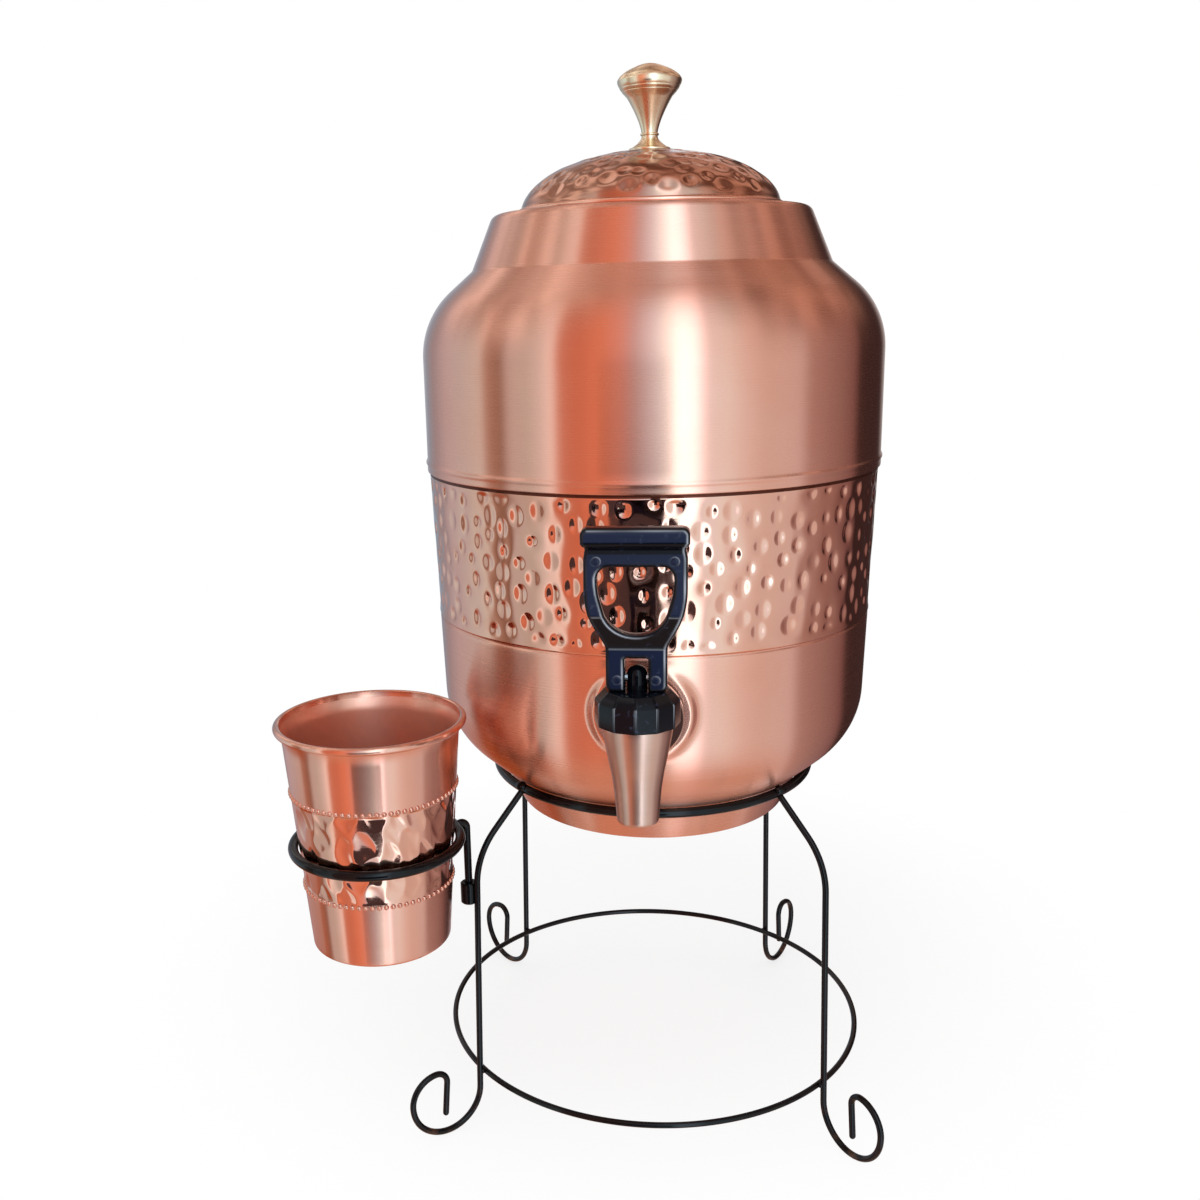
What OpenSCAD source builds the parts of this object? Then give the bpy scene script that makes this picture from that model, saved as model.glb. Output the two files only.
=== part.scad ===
// Copper water dispenser: a pot with lid and lever tap on a wire stand, with a tumbler in a side ring.
// Millimetres, +Z up, floor at z = 0, the tap looks along -Y, origin under the middle of the footprint.

/* [Pot] */
// Thickness of the copper sheet
pot_wall = 1.2; // [1:0.1:1.4]
// Height of the flat base above the floor
base_z = 135.3; // [133:0.1:137]
// Radius of the flat base
base_r = 59; // [57:0.5:60]
// Radius of the waist just under the upper ring
waist_r = 66.5; // [66:0.1:67]
// Height of the waist
waist_z = 151.5; // [151:0.1:152]
// Radius where the bowl turns into the side, before rounding
bowl_r = 91.6; // [91:0.1:92]
// Height where the bowl turns into the side, before rounding
bowl_z = 173.3; // [172:0.1:174]
// Rounding of the bowl
bowl_round = 35; // [30:1:38]
// Height of the groove under the hammered band
band_z = 223.1; // [223:0.1:228]
// Height of the seam between the two shells
seam_z = 284.8; // [282:0.1:288]
// Radius at the seam
seam_r = 95; // [94.6:0.1:95.2]
// Radius of the upper shell
upper_r = 95.8; // [95.6:0.1:96]
// Height where the upper shell turns into the shoulder, before rounding
shoulder_z = 347.5; // [346:0.1:349]
// Rounding of the shoulder
shoulder_round = 35; // [30:1:36]
// Radius of the crease between shoulder and neck
crease_r = 74; // [73:0.1:75]
// Height of the crease between shoulder and neck
crease_z = 366; // [365:0.1:367]
// Radius of the neck at its top, before rounding
neck_r = 64.8; // [64:0.1:66]
// Height of the neck ledge that the lid sits on
neck_z = 387.8; // [387:0.1:389]
// Radius of the mouth
mouth_r = 49.5; // [49:0.1:50]
// Radius of the flat pad around the tap
pad_r = 20; // [19:0.5:20.5]
// How far the pad stands out of the pot side next to the washer
pad_rise = 0.1; // [0.1:0.1:0.6]

/* [Lid] */
// Thickness of the lid sheet
lid_wall = 1; // [0.8:0.1:1.2]
// Radius of the dome at its edge
dome_r = 53.1; // [52.5:0.1:54]
// Height of the dome
dome_h = 23.7; // [22.5:0.1:25]
// Depth of the centring collar in the mouth
collar_depth = 12; // [8:1:16]
// Radius of the knob
knob_r = 13; // [12:0.1:14]
// Height of the knob
knob_h = 33.2; // [31:0.1:35]
// Radius of the knob's base
knob_base_r = 8.5; // [7:0.1:8.8]
// Radius of the knob's waist
knob_waist_r = 3.3; // [3:0.1:4]
// Diameter of the knob's stud
stud_d = 4.8; // [4:0.1:5]

/* [Tap] */
// Distance of the tap from the pot's axis
tap_reach = 130; // [128:0.5:134]
// Height of the nozzle's lower end
tip_z = 174; // [173:0.5:175]
// Radius of the nozzle's lower end
tip_r = 7.4; // [7.2:0.1:7.8]
// Height of the shank's axis
shank_z = 201; // [200.5:0.1:201.5]
// Radius of the shank
shank_r = 8; // [7.8:0.1:8.2]
// Radius of the flange on the shank
flange_r = 16; // [15:0.1:17]
// Radius of the bonnet over its corners
bonnet_r = 15; // [14.6:0.1:16]
// Height of the bonnet's lower face
bonnet_z = 210.5; // [210:0.1:211]
// Height of the bonnet
bonnet_h = 12.5; // [12.3:0.1:13]
// Radius of the stem
stem_r = 3.5; // [3.3:0.1:3.6]
// Height of the pivot above the bonnet
pivot_up = 4; // [3.8:0.1:4.2]
// Diameter of the pivot pin
pin_d = 3; // [2.6:0.1:3]
// Half depth of the fork foot, which sets how fast the stem is lifted
foot_half = 5; // [4.8:0.1:5.2]
// Width of the lever's paddle
paddle_w = 36; // [34:0.5:38]
// Width of the lever's fork
fork_w = 21; // [20:0.5:22]
// Width of the slot in the fork
slot_w = 8; // [7.8:0.1:9]
// Width of the finger hole at its top
finger_w = 25.6; // [24:0.1:26]

/* [Stand] */
// Direction of the front left leg
front_left = -139.3; // [-141:0.1:-138]
// Direction of the front right leg
front_right = -38.8; // [-42:0.1:-36]
// Direction of the back left leg
back_left = 136.2; // [132:0.1:140]
// Direction of the back right leg
back_right = 53.4; // [50:0.1:57]
// Turn of the front right foot about its leg
front_foot_turn = -14; // [-16:1:0]
// Turn of the back right foot about its leg
back_foot_turn = 9; // [0:1:12]
// Diameter of the upper ring's wire
upper_d = 4; // [3.8:0.1:4.2]
// Diameter of the legs' wire
leg_d = 2.7; // [2.5:0.1:3]
// Diameter of the lower ring's wire
lower_d = 2.5; // [2.4:0.1:3]
// Radius of the lower ring
lower_r = 94.8; // [93:0.1:96]
// Height of the lower ring
lower_z = 24; // [23:0.5:28]
// Outward lean of the legs towards the floor
leg_splay = 1.5; // [1:0.1:2]
// Slope of the leg's upper part
top_slope = 45; // [43:1:47]
// Bend radius of the leg's shoulder
leg_bend = 32.8; // [30:0.1:36]
// Bend radius of the foot's inner arc
foot_inner = 16.2; // [15:0.1:17]
// Bend radius of the foot's outer arc
foot_outer = 17.5; // [16:0.1:18.5]
// Bend radius of the foot's top arc
foot_top = 11.8; // [11:0.1:12.5]
// Bend radius of the foot's curl
foot_curl = 5.3; // [4.8:0.1:6]
// Length of the foot's straight tail
foot_tail = 14.5; // [10:0.5:15]
// Depth of the flat worn under each foot
foot_flat = 0.15; // [0.1:0.01:0.2]

/* [Cup] */
// Distance of the cup from the pot's axis
cup_reach = 135.2; // [135:0.1:137]
// Direction of the cup around the pot
cup_turn = -144.2; // [-146:0.1:-143]
// Height of the cup's base
cup_z = 97.8; // [96:0.1:100]
// Height of the cup
cup_h = 95.8; // [92:0.1:97]
// Radius of the cup's wall at its base
cup_base_r = 28.5; // [27.5:0.1:29]
// Radius of the cup's wall at its rim
cup_rim_r = 36; // [35.5:0.1:36.2]
// Height of the upper beaded line over the cup's base
upper_bead = 66; // [62:0.5:69]
// Height of the lower beaded line over the cup's base
lower_bead = 27; // [24:0.5:29]
// Thickness of the cup's sheet
cup_wall = 0.9; // [0.8:0.1:1.2]
// Height of the holder ring
holder_z = 140.3; // [138:0.1:142]
// Diameter of the holder ring's wire
holder_d = 4.2; // [4:0.1:4.3]
// Diameter of the holder arm's wire
arm_d = 3.2; // [3:0.1:3.3]
// Height of the socket's lower end
socket_z = 104; // [103:0.5:105]
// Length of the socket
socket_h = 9.5; // [9:0.5:10.5]
// Outer radius of the socket
socket_r = 3.6; // [3.5:0.1:3.8]

/* [Fits] */
// Overlap of welded wires
weld = 0.3; // [0.2:0.05:0.4]
// Space between touching round faces of loose pieces
loose_gap = 0.3; // [0.3:0.05:0.4]
// Radial play of turning and sliding pins
run_gap = 0.05; // [0.03:0.01:0.08]
// Radial play of washers and nuts on their threads
thread_gap = 0.05; // [0.03:0.01:0.08]

/* [Hidden] */
$fn = 96;

// The pot's axis lies off the middle of the footprint because the cup and tap stick out
axis_x = 24.6;
axis_y = 17.8;

copper = [0.80, 0.50, 0.40];
brass = [0.80, 0.65, 0.40];
steel = [0.70, 0.64, 0.60];
black = [0.08, 0.08, 0.09];
silicone = [0.85, 0.85, 0.82];

// Small plane geometry helpers
function heading(a, b) = (b - a) / norm(b - a);
function left_of(d) = [-d[1], d[0]];
function polar(r, a) = [r * cos(a), r * sin(a)];
function arc(c, r, a0, a1, steps) = [for (i = [0:steps]) c + polar(r, a0 + (a1 - a0) * i / steps)];
function wrap(a) = a > 180 ? a - 360 : a < -180 ? a + 360 : a;

// Corner b moved to the left of its path so that both of its edges move by w
function moved(a, b, c, w) =
    let (n0 = left_of(heading(a, b)), n1 = left_of(heading(b, c)))
    b + w * (n0 + n1) / (1 + n0 * n1);

// Corner b replaced by an arc of the given radius
function rounded(a, b, c, radius, steps = 8) =
    let (d0 = heading(b, a), d1 = heading(b, c), half = acos(d0 * d1) / 2)
    let (m = b + heading([0, 0], d0 + d1) * radius / sin(half))
    let (p = b + d0 * radius / tan(half) - m, q = b + d1 * radius / tan(half) - m)
    let (a0 = atan2(p[1], p[0]), turn = wrap(atan2(q[1], q[0]) - atan2(p[1], p[0])))
    arc(m, radius, a0, a0 + turn, steps);

// Pot lower shell outline
base_mid = [0, base_z];
base_edge = [base_r, base_z];
waist = [waist_r, waist_z];
bowl = [bowl_r, bowl_z];
seam = [seam_r, seam_z];
base_round = 3;
lip_r = seam_r - 0.4;
lip_h = 7;
groove_r = 0.7;
groove_deep = 0.5;
side_lean = heading(bowl, seam);
function side_r(z) = bowl_r + (z - bowl_z) * (seam_r - bowl_r) / (seam_z - bowl_z);
base_edge_in = moved(base_mid, base_edge, waist, pot_wall);
waist_in = moved(base_edge, waist, bowl, pot_wall);
bowl_in = moved(waist, bowl, seam, pot_wall);
seam_in = seam + pot_wall * left_of(side_lean) - side_lean * lip_h;
lower_outside = concat([base_mid], rounded(base_mid, base_edge, waist, base_round),
    rounded(base_edge, waist, bowl, base_round), rounded(waist, bowl, seam, bowl_round, 14),
    [seam, [lip_r, seam_z], [lip_r, seam_z + lip_h], [0, seam_z + lip_h]]);
lower_inside = concat([[0, base_z + pot_wall]],
    rounded([0, base_z + pot_wall], base_edge_in, waist_in, base_round - pot_wall),
    rounded(base_edge_in, waist_in, bowl_in, base_round + pot_wall),
    rounded(waist_in, bowl_in, seam_in, bowl_round - pot_wall, 14),
    [seam_in, [lip_r - pot_wall, seam_z - 1], [lip_r - pot_wall, seam_z + lip_h + 1]],
    [[0, seam_z + lip_h + 1]]);

// Pot upper shell outline
bead_r = 2;
bead_sink = 1.4;
bead_half = acos(bead_sink / bead_r);
neck_round = 4;
shoulder = [upper_r, shoulder_z];
crease = [crease_r, crease_z];
neck_edge = [neck_r, neck_z];
mouth = [mouth_r, neck_z];
upper_foot = [upper_r, seam_z];
shoulder_in = moved(upper_foot, shoulder, crease, pot_wall);
crease_in = moved(shoulder, crease, neck_edge, pot_wall);
neck_edge_in = moved(crease, neck_edge, mouth, pot_wall);
mouth_in = [mouth_r, neck_z - pot_wall];
upper_outline = concat([[lip_r, seam_z], upper_foot],
    arc([upper_r - bead_sink, seam_z + 2.2], bead_r, -bead_half, bead_half, 8),
    rounded(upper_foot, shoulder, crease, shoulder_round, 14), rounded(shoulder, crease, neck_edge, 2, 4),
    rounded(crease, neck_edge, mouth, neck_round), [mouth, mouth_in],
    rounded(mouth_in, neck_edge_in, crease_in, neck_round - pot_wall),
    rounded(neck_edge_in, crease_in, shoulder_in, 2 + pot_wall, 4),
    rounded(crease_in, shoulder_in, [lip_r, seam_z], shoulder_round - pot_wall, 14));

// Lid and knob
knob_seat_r = knob_base_r + 0.5;
dome_step = acos(knob_seat_r / dome_r);
seat_z = neck_z + dome_h * sin(dome_step);
collar_r = mouth_r - 0.9;
function dome_arc(a, b) = [for (i = [0:24])
    [a * cos(dome_step * i / 24), neck_z + b * sin(dome_step * i / 24)]];
dome_outside = concat(dome_arc(dome_r, dome_h), [[0, seat_z]]);
dome_inside = concat(dome_arc(dome_r - lid_wall, dome_h - lid_wall),
    [[0, neck_z + (dome_h - lid_wall) * sin(dome_step)]]);
under_seat_z = neck_z + (dome_h - lid_wall) * sin(dome_step);
washer_h = 1;
stud_nut_h = 3.6;
stud_nut_r = 4.6;
knob_widest_z = 25;
knob_waist_z = 6.4;
knob_flare_z = knob_waist_z + 0.6;
knob_foot_h = 1;
knob_outline = concat([[0, 0], [knob_base_r, 0], [knob_base_r, knob_foot_h]],
    [[knob_waist_r + 1.2, knob_waist_z - 1.6], [knob_waist_r, knob_waist_z - 0.6]],
    [[knob_waist_r + 0.4, knob_waist_z]],
    [for (i = [0:8]) [knob_waist_r + (knob_r - knob_waist_r) * pow(i / 8, 1.4),
        knob_flare_z + (knob_widest_z - knob_flare_z) * i / 8]],
    [for (i = [1:14]) [knob_r * cos(i * 90 / 14),
        knob_widest_z + (knob_h - knob_widest_z) * sin(i * 90 / 14)]]);

// Tap
washer_r = 14;
pad_y = max(side_r(shank_z - washer_r), side_r(shank_z + washer_r)) + pad_rise;
seal_h = 2;
flange_h = 3;
nut_h = 6;
nut_r = 13.9;
pad_at = tap_reach - pad_y;
flange_at = pad_at - seal_h - flange_h;
nut_at = pad_at + pot_wall + seal_h;
shank_end = nut_at + nut_h + 4;
shank_bore = 5.5;
neck_bar_r = bonnet_z - shank_z - 0.1;
outlet_r = tip_r - 1.5;
seat_hole_r = 4.2;
seat_up = 17;
seat_top = tip_z + seat_up;
plug_r = 6.4;
plug_h = 7;
plug_bore_r = 2.6;
well_r = plug_r + 0.5;
well_top = seat_top + plug_h + 1;
chamber_r = 9.3;
nozzle_mid_z = tip_z + 12;
nozzle_mid_r = tip_r + 0.9;
cone_r = 12.6;
cone_top = bonnet_z - 3;
thread_r = 12;
thread_h = 7.5;
bonnet_roof = bonnet_z + thread_h + 0.4;
bonnet_top = bonnet_z + bonnet_h;
bonnet_edge = 3.7;
nozzle_outline = [[0, tip_z], [tip_r, tip_z], [nozzle_mid_r, nozzle_mid_z], [cone_r, cone_top],
    [cone_r, bonnet_z], [thread_r, bonnet_z], [thread_r, bonnet_z + thread_h], [0, bonnet_z + thread_h]];
pivot_z = bonnet_top + pivot_up;
stem_top = pivot_z + 4.5;
collar_z = seat_top + 13;
stem_collar_h = 2;
stem_collar_r = 6.5;
stem_low = seat_top + 2;

// Lever, seen from the side (forward is -x) and from the front
fork_top = bonnet_top + 16;
paddle_z = bonnet_top + 28;
bar_z = bonnet_top + 51.2;
lever_top = bonnet_top + 58;
paddle_fwd = foot_half + 6;
bar_fwd = foot_half + 8;
plate_t = 5.5;
side_outline = concat([[-foot_half, bonnet_top], [foot_half, bonnet_top], [foot_half, fork_top - 5]],
    [[-0.5, fork_top + 1], [plate_t - paddle_fwd, paddle_z + 1], [plate_t + 1 - paddle_fwd, bar_z]],
    [[plate_t + 1 - paddle_fwd, lever_top - 1.5], [plate_t - 0.5 - paddle_fwd, lever_top]],
    [[1.5 - bar_fwd, lever_top], [-bar_fwd, lever_top - 1.5]],
    [[-bar_fwd, bar_z + 1.5], [1 - bar_fwd, bar_z]],
    [[1.5 - paddle_fwd, bar_z - 0.5], [-paddle_fwd, paddle_z], [-foot_half - 0.5, fork_top]]);
bar_half = paddle_w / 2;
paddle_half = bar_half - 0.7;
fork_half = fork_w / 2;
finger_half = finger_w / 2;
finger_low = bonnet_top + 20.5;
finger_high = bonnet_top + 44.5;
right_edge = concat([[fork_half, bonnet_top], [fork_half, fork_top]],
    rounded([fork_half, fork_top], [paddle_half, fork_top + 13], [paddle_half, bar_z], 12, 8),
    [[paddle_half, bar_z - 4], [paddle_half - 0.6, bar_z - 1], [bar_half, bar_z + 1.5]],
    rounded([bar_half, bar_z], [bar_half, lever_top], [0, lever_top], 2.5, 6));
left_edge = [for (i = [len(right_edge) - 1:-1:0]) [-right_edge[i][0], right_edge[i][1]]];
finger_right = concat(rounded([-finger_half, finger_low], [finger_half - 4.5, finger_low],
        [finger_half, finger_high - 8], 8.5, 10),
    rounded([finger_half - 4.5, finger_low], [finger_half, finger_high - 8],
        [finger_half, finger_high], 8, 4),
    rounded([finger_half, finger_low], [finger_half, finger_high], [0, finger_high], 4, 6));
finger_left = [for (i = [len(finger_right) - 1:-1:0]) [-finger_right[i][0], finger_right[i][1]]];

// Return spring: an unbroken round wire between the stem's collar and the bonnet's roof
spring_turns = 4.5;
spring_wire = 0.9;
spring_r = 5.3;
spring_low = collar_z + stem_collar_h;
spring_h = bonnet_roof - spring_low;
spring_rings = spring_turns * 8;
spring_rise = spring_h - spring_wire;
function spring_axis(i) = [polar(spring_r, i * 45)[0], polar(spring_r, i * 45)[1],
    spring_low + spring_wire / 2 + spring_rise * i / spring_rings];
spring_points = [for (i = [0:spring_rings], j = [0:5])
    let (out = polar(1, i * 45), side = polar(spring_wire / 2, j * 60))
    spring_axis(i) + [out[0] * side[0], out[1] * side[0], side[1]]];
spring_faces = concat([[for (j = [0:5]) j]],
    [for (i = [0:spring_rings - 1], j = [0:5])
        [i * 6 + j, (i + 1) * 6 + j, (i + 1) * 6 + (j + 1) % 6, i * 6 + (j + 1) % 6]],
    [[for (j = [5:-1:0]) spring_rings * 6 + j]]);
spring_gap = min([for (i = [0:spring_rings - 8])
    min([for (k = [i + 8:spring_rings]) norm(spring_axis(i) - spring_axis(k))])]) - spring_wire;
echo(spring_gap_to_itself = spring_gap);

// Stand
slope_dir = heading(waist, bowl);
slope_out = -left_of(slope_dir);
upper_at = waist + slope_dir * 2.3 + slope_out * (upper_d / 2 + loose_gap);
leg_out = polar(1, leg_splay);
top_out = polar(1, 90 - top_slope);
leg_at = [lower_r + (lower_d + leg_d) / 2 - weld, lower_z];
foot_z = leg_d / 2 - foot_flat;
leg_rise = [-tan(leg_splay), 1];
bend_side = upper_at * top_out - leg_bend + leg_bend * (leg_out * top_out);
bend_up = (bend_side - leg_at * top_out) / (leg_rise * top_out);
bend_low = leg_at + bend_up * leg_rise;
bend_mid = bend_low - leg_bend * leg_out;
bend_high = bend_mid + leg_bend * top_out;
leg_end = upper_at + heading(upper_at, bend_high) * (upper_d / 2 - weld);
inner_mid = [leg_at[0] + (foot_inner - (foot_z + foot_inner - lower_z) * sin(leg_splay)) / cos(leg_splay),
    foot_z + foot_inner];
inner_start = inner_mid - foot_inner * leg_out;
outer_mid = [inner_mid[0], foot_z + foot_outer];
top_mid = outer_mid + [foot_outer - foot_top, 0];
curl_mid = top_mid + [0, foot_top - foot_curl];
tail_turn = 185;
tail_start = curl_mid + polar(foot_curl, tail_turn);
tail_end = tail_start + polar(foot_tail, tail_turn + 90);
// Where bends meet, the wire is a hair thicker
bend_swell = 0.1;
leg_joints = [bend_high, bend_low, inner_start];
foot_span = foot_inner + foot_outer + foot_top;
foot_joints = [inner_mid - [0, foot_inner], top_mid + [foot_top, 0], curl_mid + [0, foot_curl], tail_start];
echo(foot_radius = inner_mid[0], feet_at = [front_left, front_right, back_left, back_right]);

// Cup and holder
cup_at = polar(cup_reach, cup_turn);
rim_wire = 1.2;
bead_line_r = 0.6;
upper_bead_z = cup_z + upper_bead;
lower_bead_z = cup_z + lower_bead;
function cup_r(z) = cup_base_r + (cup_rim_r - cup_base_r) * (z - cup_z) / cup_h;
holder_r = cup_r(holder_z) + loose_gap + holder_d / 2;
socket_mid_z = socket_z + socket_h / 2;
leg_by_socket = leg_at[0] - (socket_mid_z - lower_z) * tan(leg_splay);
socket_turn = front_left - 72;
socket_at = polar(leg_by_socket, front_left) + polar(socket_r + leg_d / 2 - weld, socket_turn);
arm_turn = atan2(socket_at[1] - cup_at[1], socket_at[0] - cup_at[0]);
arm_span = norm(socket_at - cup_at) - holder_r;
// The hook of the arm leaves the ring a little below the middle of its wire
arm_z = holder_z - 1.6;
echo(pivot = [axis_x, axis_y - tap_reach, pivot_z]);
echo(socket = socket_at + [axis_x, axis_y], cup = cup_at + [axis_x, axis_y]);

// Places a piece on the pot's axis
module on_axis() {
    translate([axis_x, axis_y, 0]) children();
}

// Places a piece on the tap's upright axis
module on_tap() {
    translate([axis_x, axis_y - tap_reach, 0]) children();
}

// Bar along +Y from y0 to y1
module bar_y(r, y0, y1, z) {
    translate([0, y0, z]) rotate([-90, 0, 0]) cylinder(r = r, h = y1 - y0);
}

// Straight wire between two points of the upright plane through X
module straight_wire(p, q, d) {
    translate([p[0], 0, p[1]]) rotate([0, atan2(q[0] - p[0], q[1] - p[1]), 0])
        cylinder(d = d, h = norm(q - p));
}

// Bent wire in the upright plane through X
module bent_wire(c, r, a0, a1, d) {
    translate([c[0], 0, c[1]]) rotate([90, 0, 0]) rotate([0, 0, a0])
        rotate_extrude(angle = a1 - a0) translate([r, 0]) circle(d = d, $fn = 32);
}

// Closed round wire ring
module wire_ring(r, z, d) {
    translate([0, 0, z]) rotate_extrude() translate([r, 0]) circle(d = d, $fn = 32);
}

module pot_lower_shell() {
    color(copper) on_axis() difference() {
        union() {
            rotate_extrude() polygon(lower_outside);
            bar_y(pad_r, -pad_y, -pad_y + 8, shank_z);
        }
        rotate_extrude() polygon(lower_inside);
        bar_y(pad_r - pot_wall, -pad_y + pot_wall, -pad_y + 9, shank_z);
        bar_y(shank_r + loose_gap, -pad_y - 1, -pad_y + 9, shank_z);
        wire_ring(side_r(band_z) + groove_r - groove_deep, band_z, 2 * groove_r);
    }
}

module pot_upper_shell() {
    color(copper) on_axis() rotate_extrude() polygon(upper_outline);
}

module lid_dome() {
    color(copper) on_axis() difference() {
        rotate_extrude() polygon(concat([[0, neck_z]], dome_outside));
        rotate_extrude() polygon(concat([[0, neck_z - 1], [dome_r - lid_wall, neck_z - 1]], dome_inside));
        translate([0, 0, seat_z - 5]) cylinder(d = stud_d + 2 * thread_gap, h = 10);
    }
}

module lid_collar() {
    color(copper) on_axis() difference() {
        union() {
            translate([0, 0, neck_z - collar_depth]) cylinder(r = collar_r, h = collar_depth + lid_wall);
            translate([0, 0, neck_z])
                cylinder(r1 = dome_r - lid_wall, r2 = dome_r - lid_wall - 0.1, h = lid_wall);
        }
        translate([0, 0, neck_z - collar_depth - 1])
            cylinder(r = collar_r - lid_wall, h = collar_depth + 4);
    }
}

module knob() {
    color(brass) on_axis() union() {
        translate([0, 0, seat_z]) rotate_extrude() polygon(knob_outline);
        translate([0, 0, seat_z - lid_wall - washer_h - stud_nut_h - 1.5])
            cylinder(d = stud_d, h = lid_wall + washer_h + stud_nut_h + 2.5);
    }
}

module knob_washer() {
    color(brass) on_axis() translate([0, 0, under_seat_z - washer_h]) difference() {
        cylinder(r = 6, h = washer_h);
        translate([0, 0, -1]) cylinder(d = stud_d + 2 * thread_gap, h = washer_h + 2);
    }
}

module knob_nut() {
    color(brass) on_axis() translate([0, 0, under_seat_z - washer_h - stud_nut_h]) difference() {
        cylinder(r = stud_nut_r, h = stud_nut_h, $fn = 6);
        translate([0, 0, -1]) cylinder(d = stud_d + 2 * thread_gap, h = stud_nut_h + 2);
    }
}

module tap_body() {
    color(steel) on_tap() difference() {
        union() {
            rotate_extrude() polygon(nozzle_outline);
            bar_y(neck_bar_r, 0, flange_at + 1, shank_z);
            bar_y(flange_r, flange_at, flange_at + flange_h, shank_z);
            bar_y(shank_r, flange_at, shank_end, shank_z);
        }
        translate([0, 0, tip_z - 1]) cylinder(r = outlet_r, h = seat_up - 1);
        translate([0, 0, tip_z]) cylinder(r = seat_hole_r, h = seat_up + 1);
        translate([0, 0, seat_top]) cylinder(r = well_r, h = well_top - seat_top + 1);
        translate([0, 0, well_top]) cylinder(r = chamber_r, h = bonnet_top);
        bar_y(shank_bore, 0, shank_end + 1, shank_z);
    }
}

module seal(y, r) {
    difference() {
        bar_y(r, y, y + seal_h, shank_z);
        bar_y(shank_r + thread_gap, y - 1, y + seal_h + 1, shank_z);
    }
}

module outer_washer() {
    color(silicone) on_tap() seal(pad_at - seal_h, washer_r);
}

module inner_washer() {
    color(silicone) on_tap() seal(pad_at + pot_wall, washer_r - 1);
}

module lock_nut() {
    color(steel) on_tap() difference() {
        translate([0, nut_at, shank_z]) rotate([-90, 0, 0]) cylinder(r = nut_r, h = nut_h, $fn = 6);
        bar_y(shank_r + thread_gap, nut_at - 1, nut_at + nut_h + 1, shank_z);
    }
}

module bonnet() {
    color(black) on_tap() difference() {
        union() {
            translate([0, 0, bonnet_z]) cylinder(r = bonnet_r, h = bonnet_h - bonnet_edge, $fn = 12);
            translate([0, 0, bonnet_top - bonnet_edge])
                cylinder(r1 = bonnet_r, r2 = bonnet_r - bonnet_edge, h = bonnet_edge, $fn = 12);
        }
        translate([0, 0, bonnet_z - 1]) cylinder(r = thread_r + thread_gap, h = bonnet_roof - bonnet_z + 1);
        translate([0, 0, bonnet_z]) cylinder(r = stem_r + run_gap, h = bonnet_h + 1);
    }
}

module stem() {
    color(black) on_tap() difference() {
        rotate_extrude() polygon(concat([[0, stem_low], [plug_bore_r, stem_low]],
            [[plug_bore_r, seat_top + plug_h], [stem_r, seat_top + plug_h]],
            [[stem_r, collar_z], [stem_collar_r, collar_z]],
            [[stem_collar_r, collar_z + stem_collar_h], [stem_r, collar_z + stem_collar_h]],
            [for (i = [0:8]) [stem_r * cos(i * 11.25), stem_top - stem_r + stem_r * sin(i * 11.25)]]));
        translate([-10, 0, pivot_z]) rotate([0, 90, 0]) cylinder(d = pin_d, h = 20, $fn = 48);
    }
}

module pivot_pin() {
    color(steel) on_tap() translate([1 - fork_half, 0, pivot_z]) rotate([0, 90, 0])
        cylinder(d = pin_d, h = fork_w - 2, $fn = 48);
}

module seat_plug() {
    color(silicone) on_tap() translate([0, 0, seat_top]) difference() {
        cylinder(r = plug_r, h = plug_h);
        translate([0, 0, stem_low - seat_top]) cylinder(r = plug_bore_r, h = plug_h);
    }
}

module return_spring() {
    color(steel) on_tap() polyhedron(points = spring_points, faces = spring_faces);
}

module lever() {
    color(black) on_tap() difference() {
        intersection() {
            translate([0, 40, 0]) rotate([90, 0, 0]) linear_extrude(height = 80) difference() {
                polygon(concat(right_edge, left_edge));
                polygon(concat(finger_right, finger_left));
                translate([-slot_w / 2, bonnet_top - 1]) square([slot_w, fork_top - bonnet_top - 3]);
            }
            translate([-paddle_w, 0, 0]) rotate([90, 0, 90]) linear_extrude(height = 2 * paddle_w)
                polygon(side_outline);
        }
        translate([-fork_w, 0, pivot_z]) rotate([0, 90, 0])
            cylinder(d = pin_d + 2 * run_gap, h = 2 * fork_w, $fn = 48);
    }
}

module upper_ring() {
    color(black) on_axis() wire_ring(upper_at[0], upper_at[1], upper_d);
}

module lower_ring() {
    color(black) on_axis() wire_ring(lower_r, lower_z, lower_d);
}

// Small balls where the pieces of a bent wire meet
module wire_joints(points, d) {
    for (p = points) translate([p[0], 0, p[1]]) sphere(d = d + bend_swell);
}

module foot() {
    bent_wire(inner_mid, foot_inner, 180 + leg_splay, 270, leg_d);
    bent_wire(outer_mid, foot_outer, 270, 360, leg_d);
    bent_wire(top_mid, foot_top, 0, 90, leg_d);
    bent_wire(curl_mid, foot_curl, 90, tail_turn, leg_d);
    straight_wire(tail_start, tail_end, leg_d);
    wire_joints(foot_joints, leg_d);
}

module leg(turn, foot_turn) {
    color(black) on_axis() rotate([0, 0, turn]) difference() {
        union() {
            straight_wire(bend_high, leg_end, leg_d);
            bent_wire(bend_mid, leg_bend, leg_splay, 90 - top_slope, leg_d);
            straight_wire(inner_start, bend_low, leg_d);
            wire_joints(leg_joints, leg_d);
            translate([inner_start[0], 0, inner_start[1]]) rotate([0, -leg_splay, 0])
                rotate([0, 0, foot_turn]) rotate([0, leg_splay, 0])
                translate([-inner_start[0], 0, -inner_start[1]]) foot();
        }
        translate([0, -foot_span, -foot_span]) cube([lower_r + 2 * foot_span, 2 * foot_span, foot_span]);
    }
}

module holder_socket() {
    color(black) on_axis() translate([socket_at[0], socket_at[1], socket_z]) difference() {
        cylinder(r = socket_r, h = socket_h);
        translate([0, 0, -1]) cylinder(d = arm_d + 2 * run_gap, h = socket_h + 2);
    }
}

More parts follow.
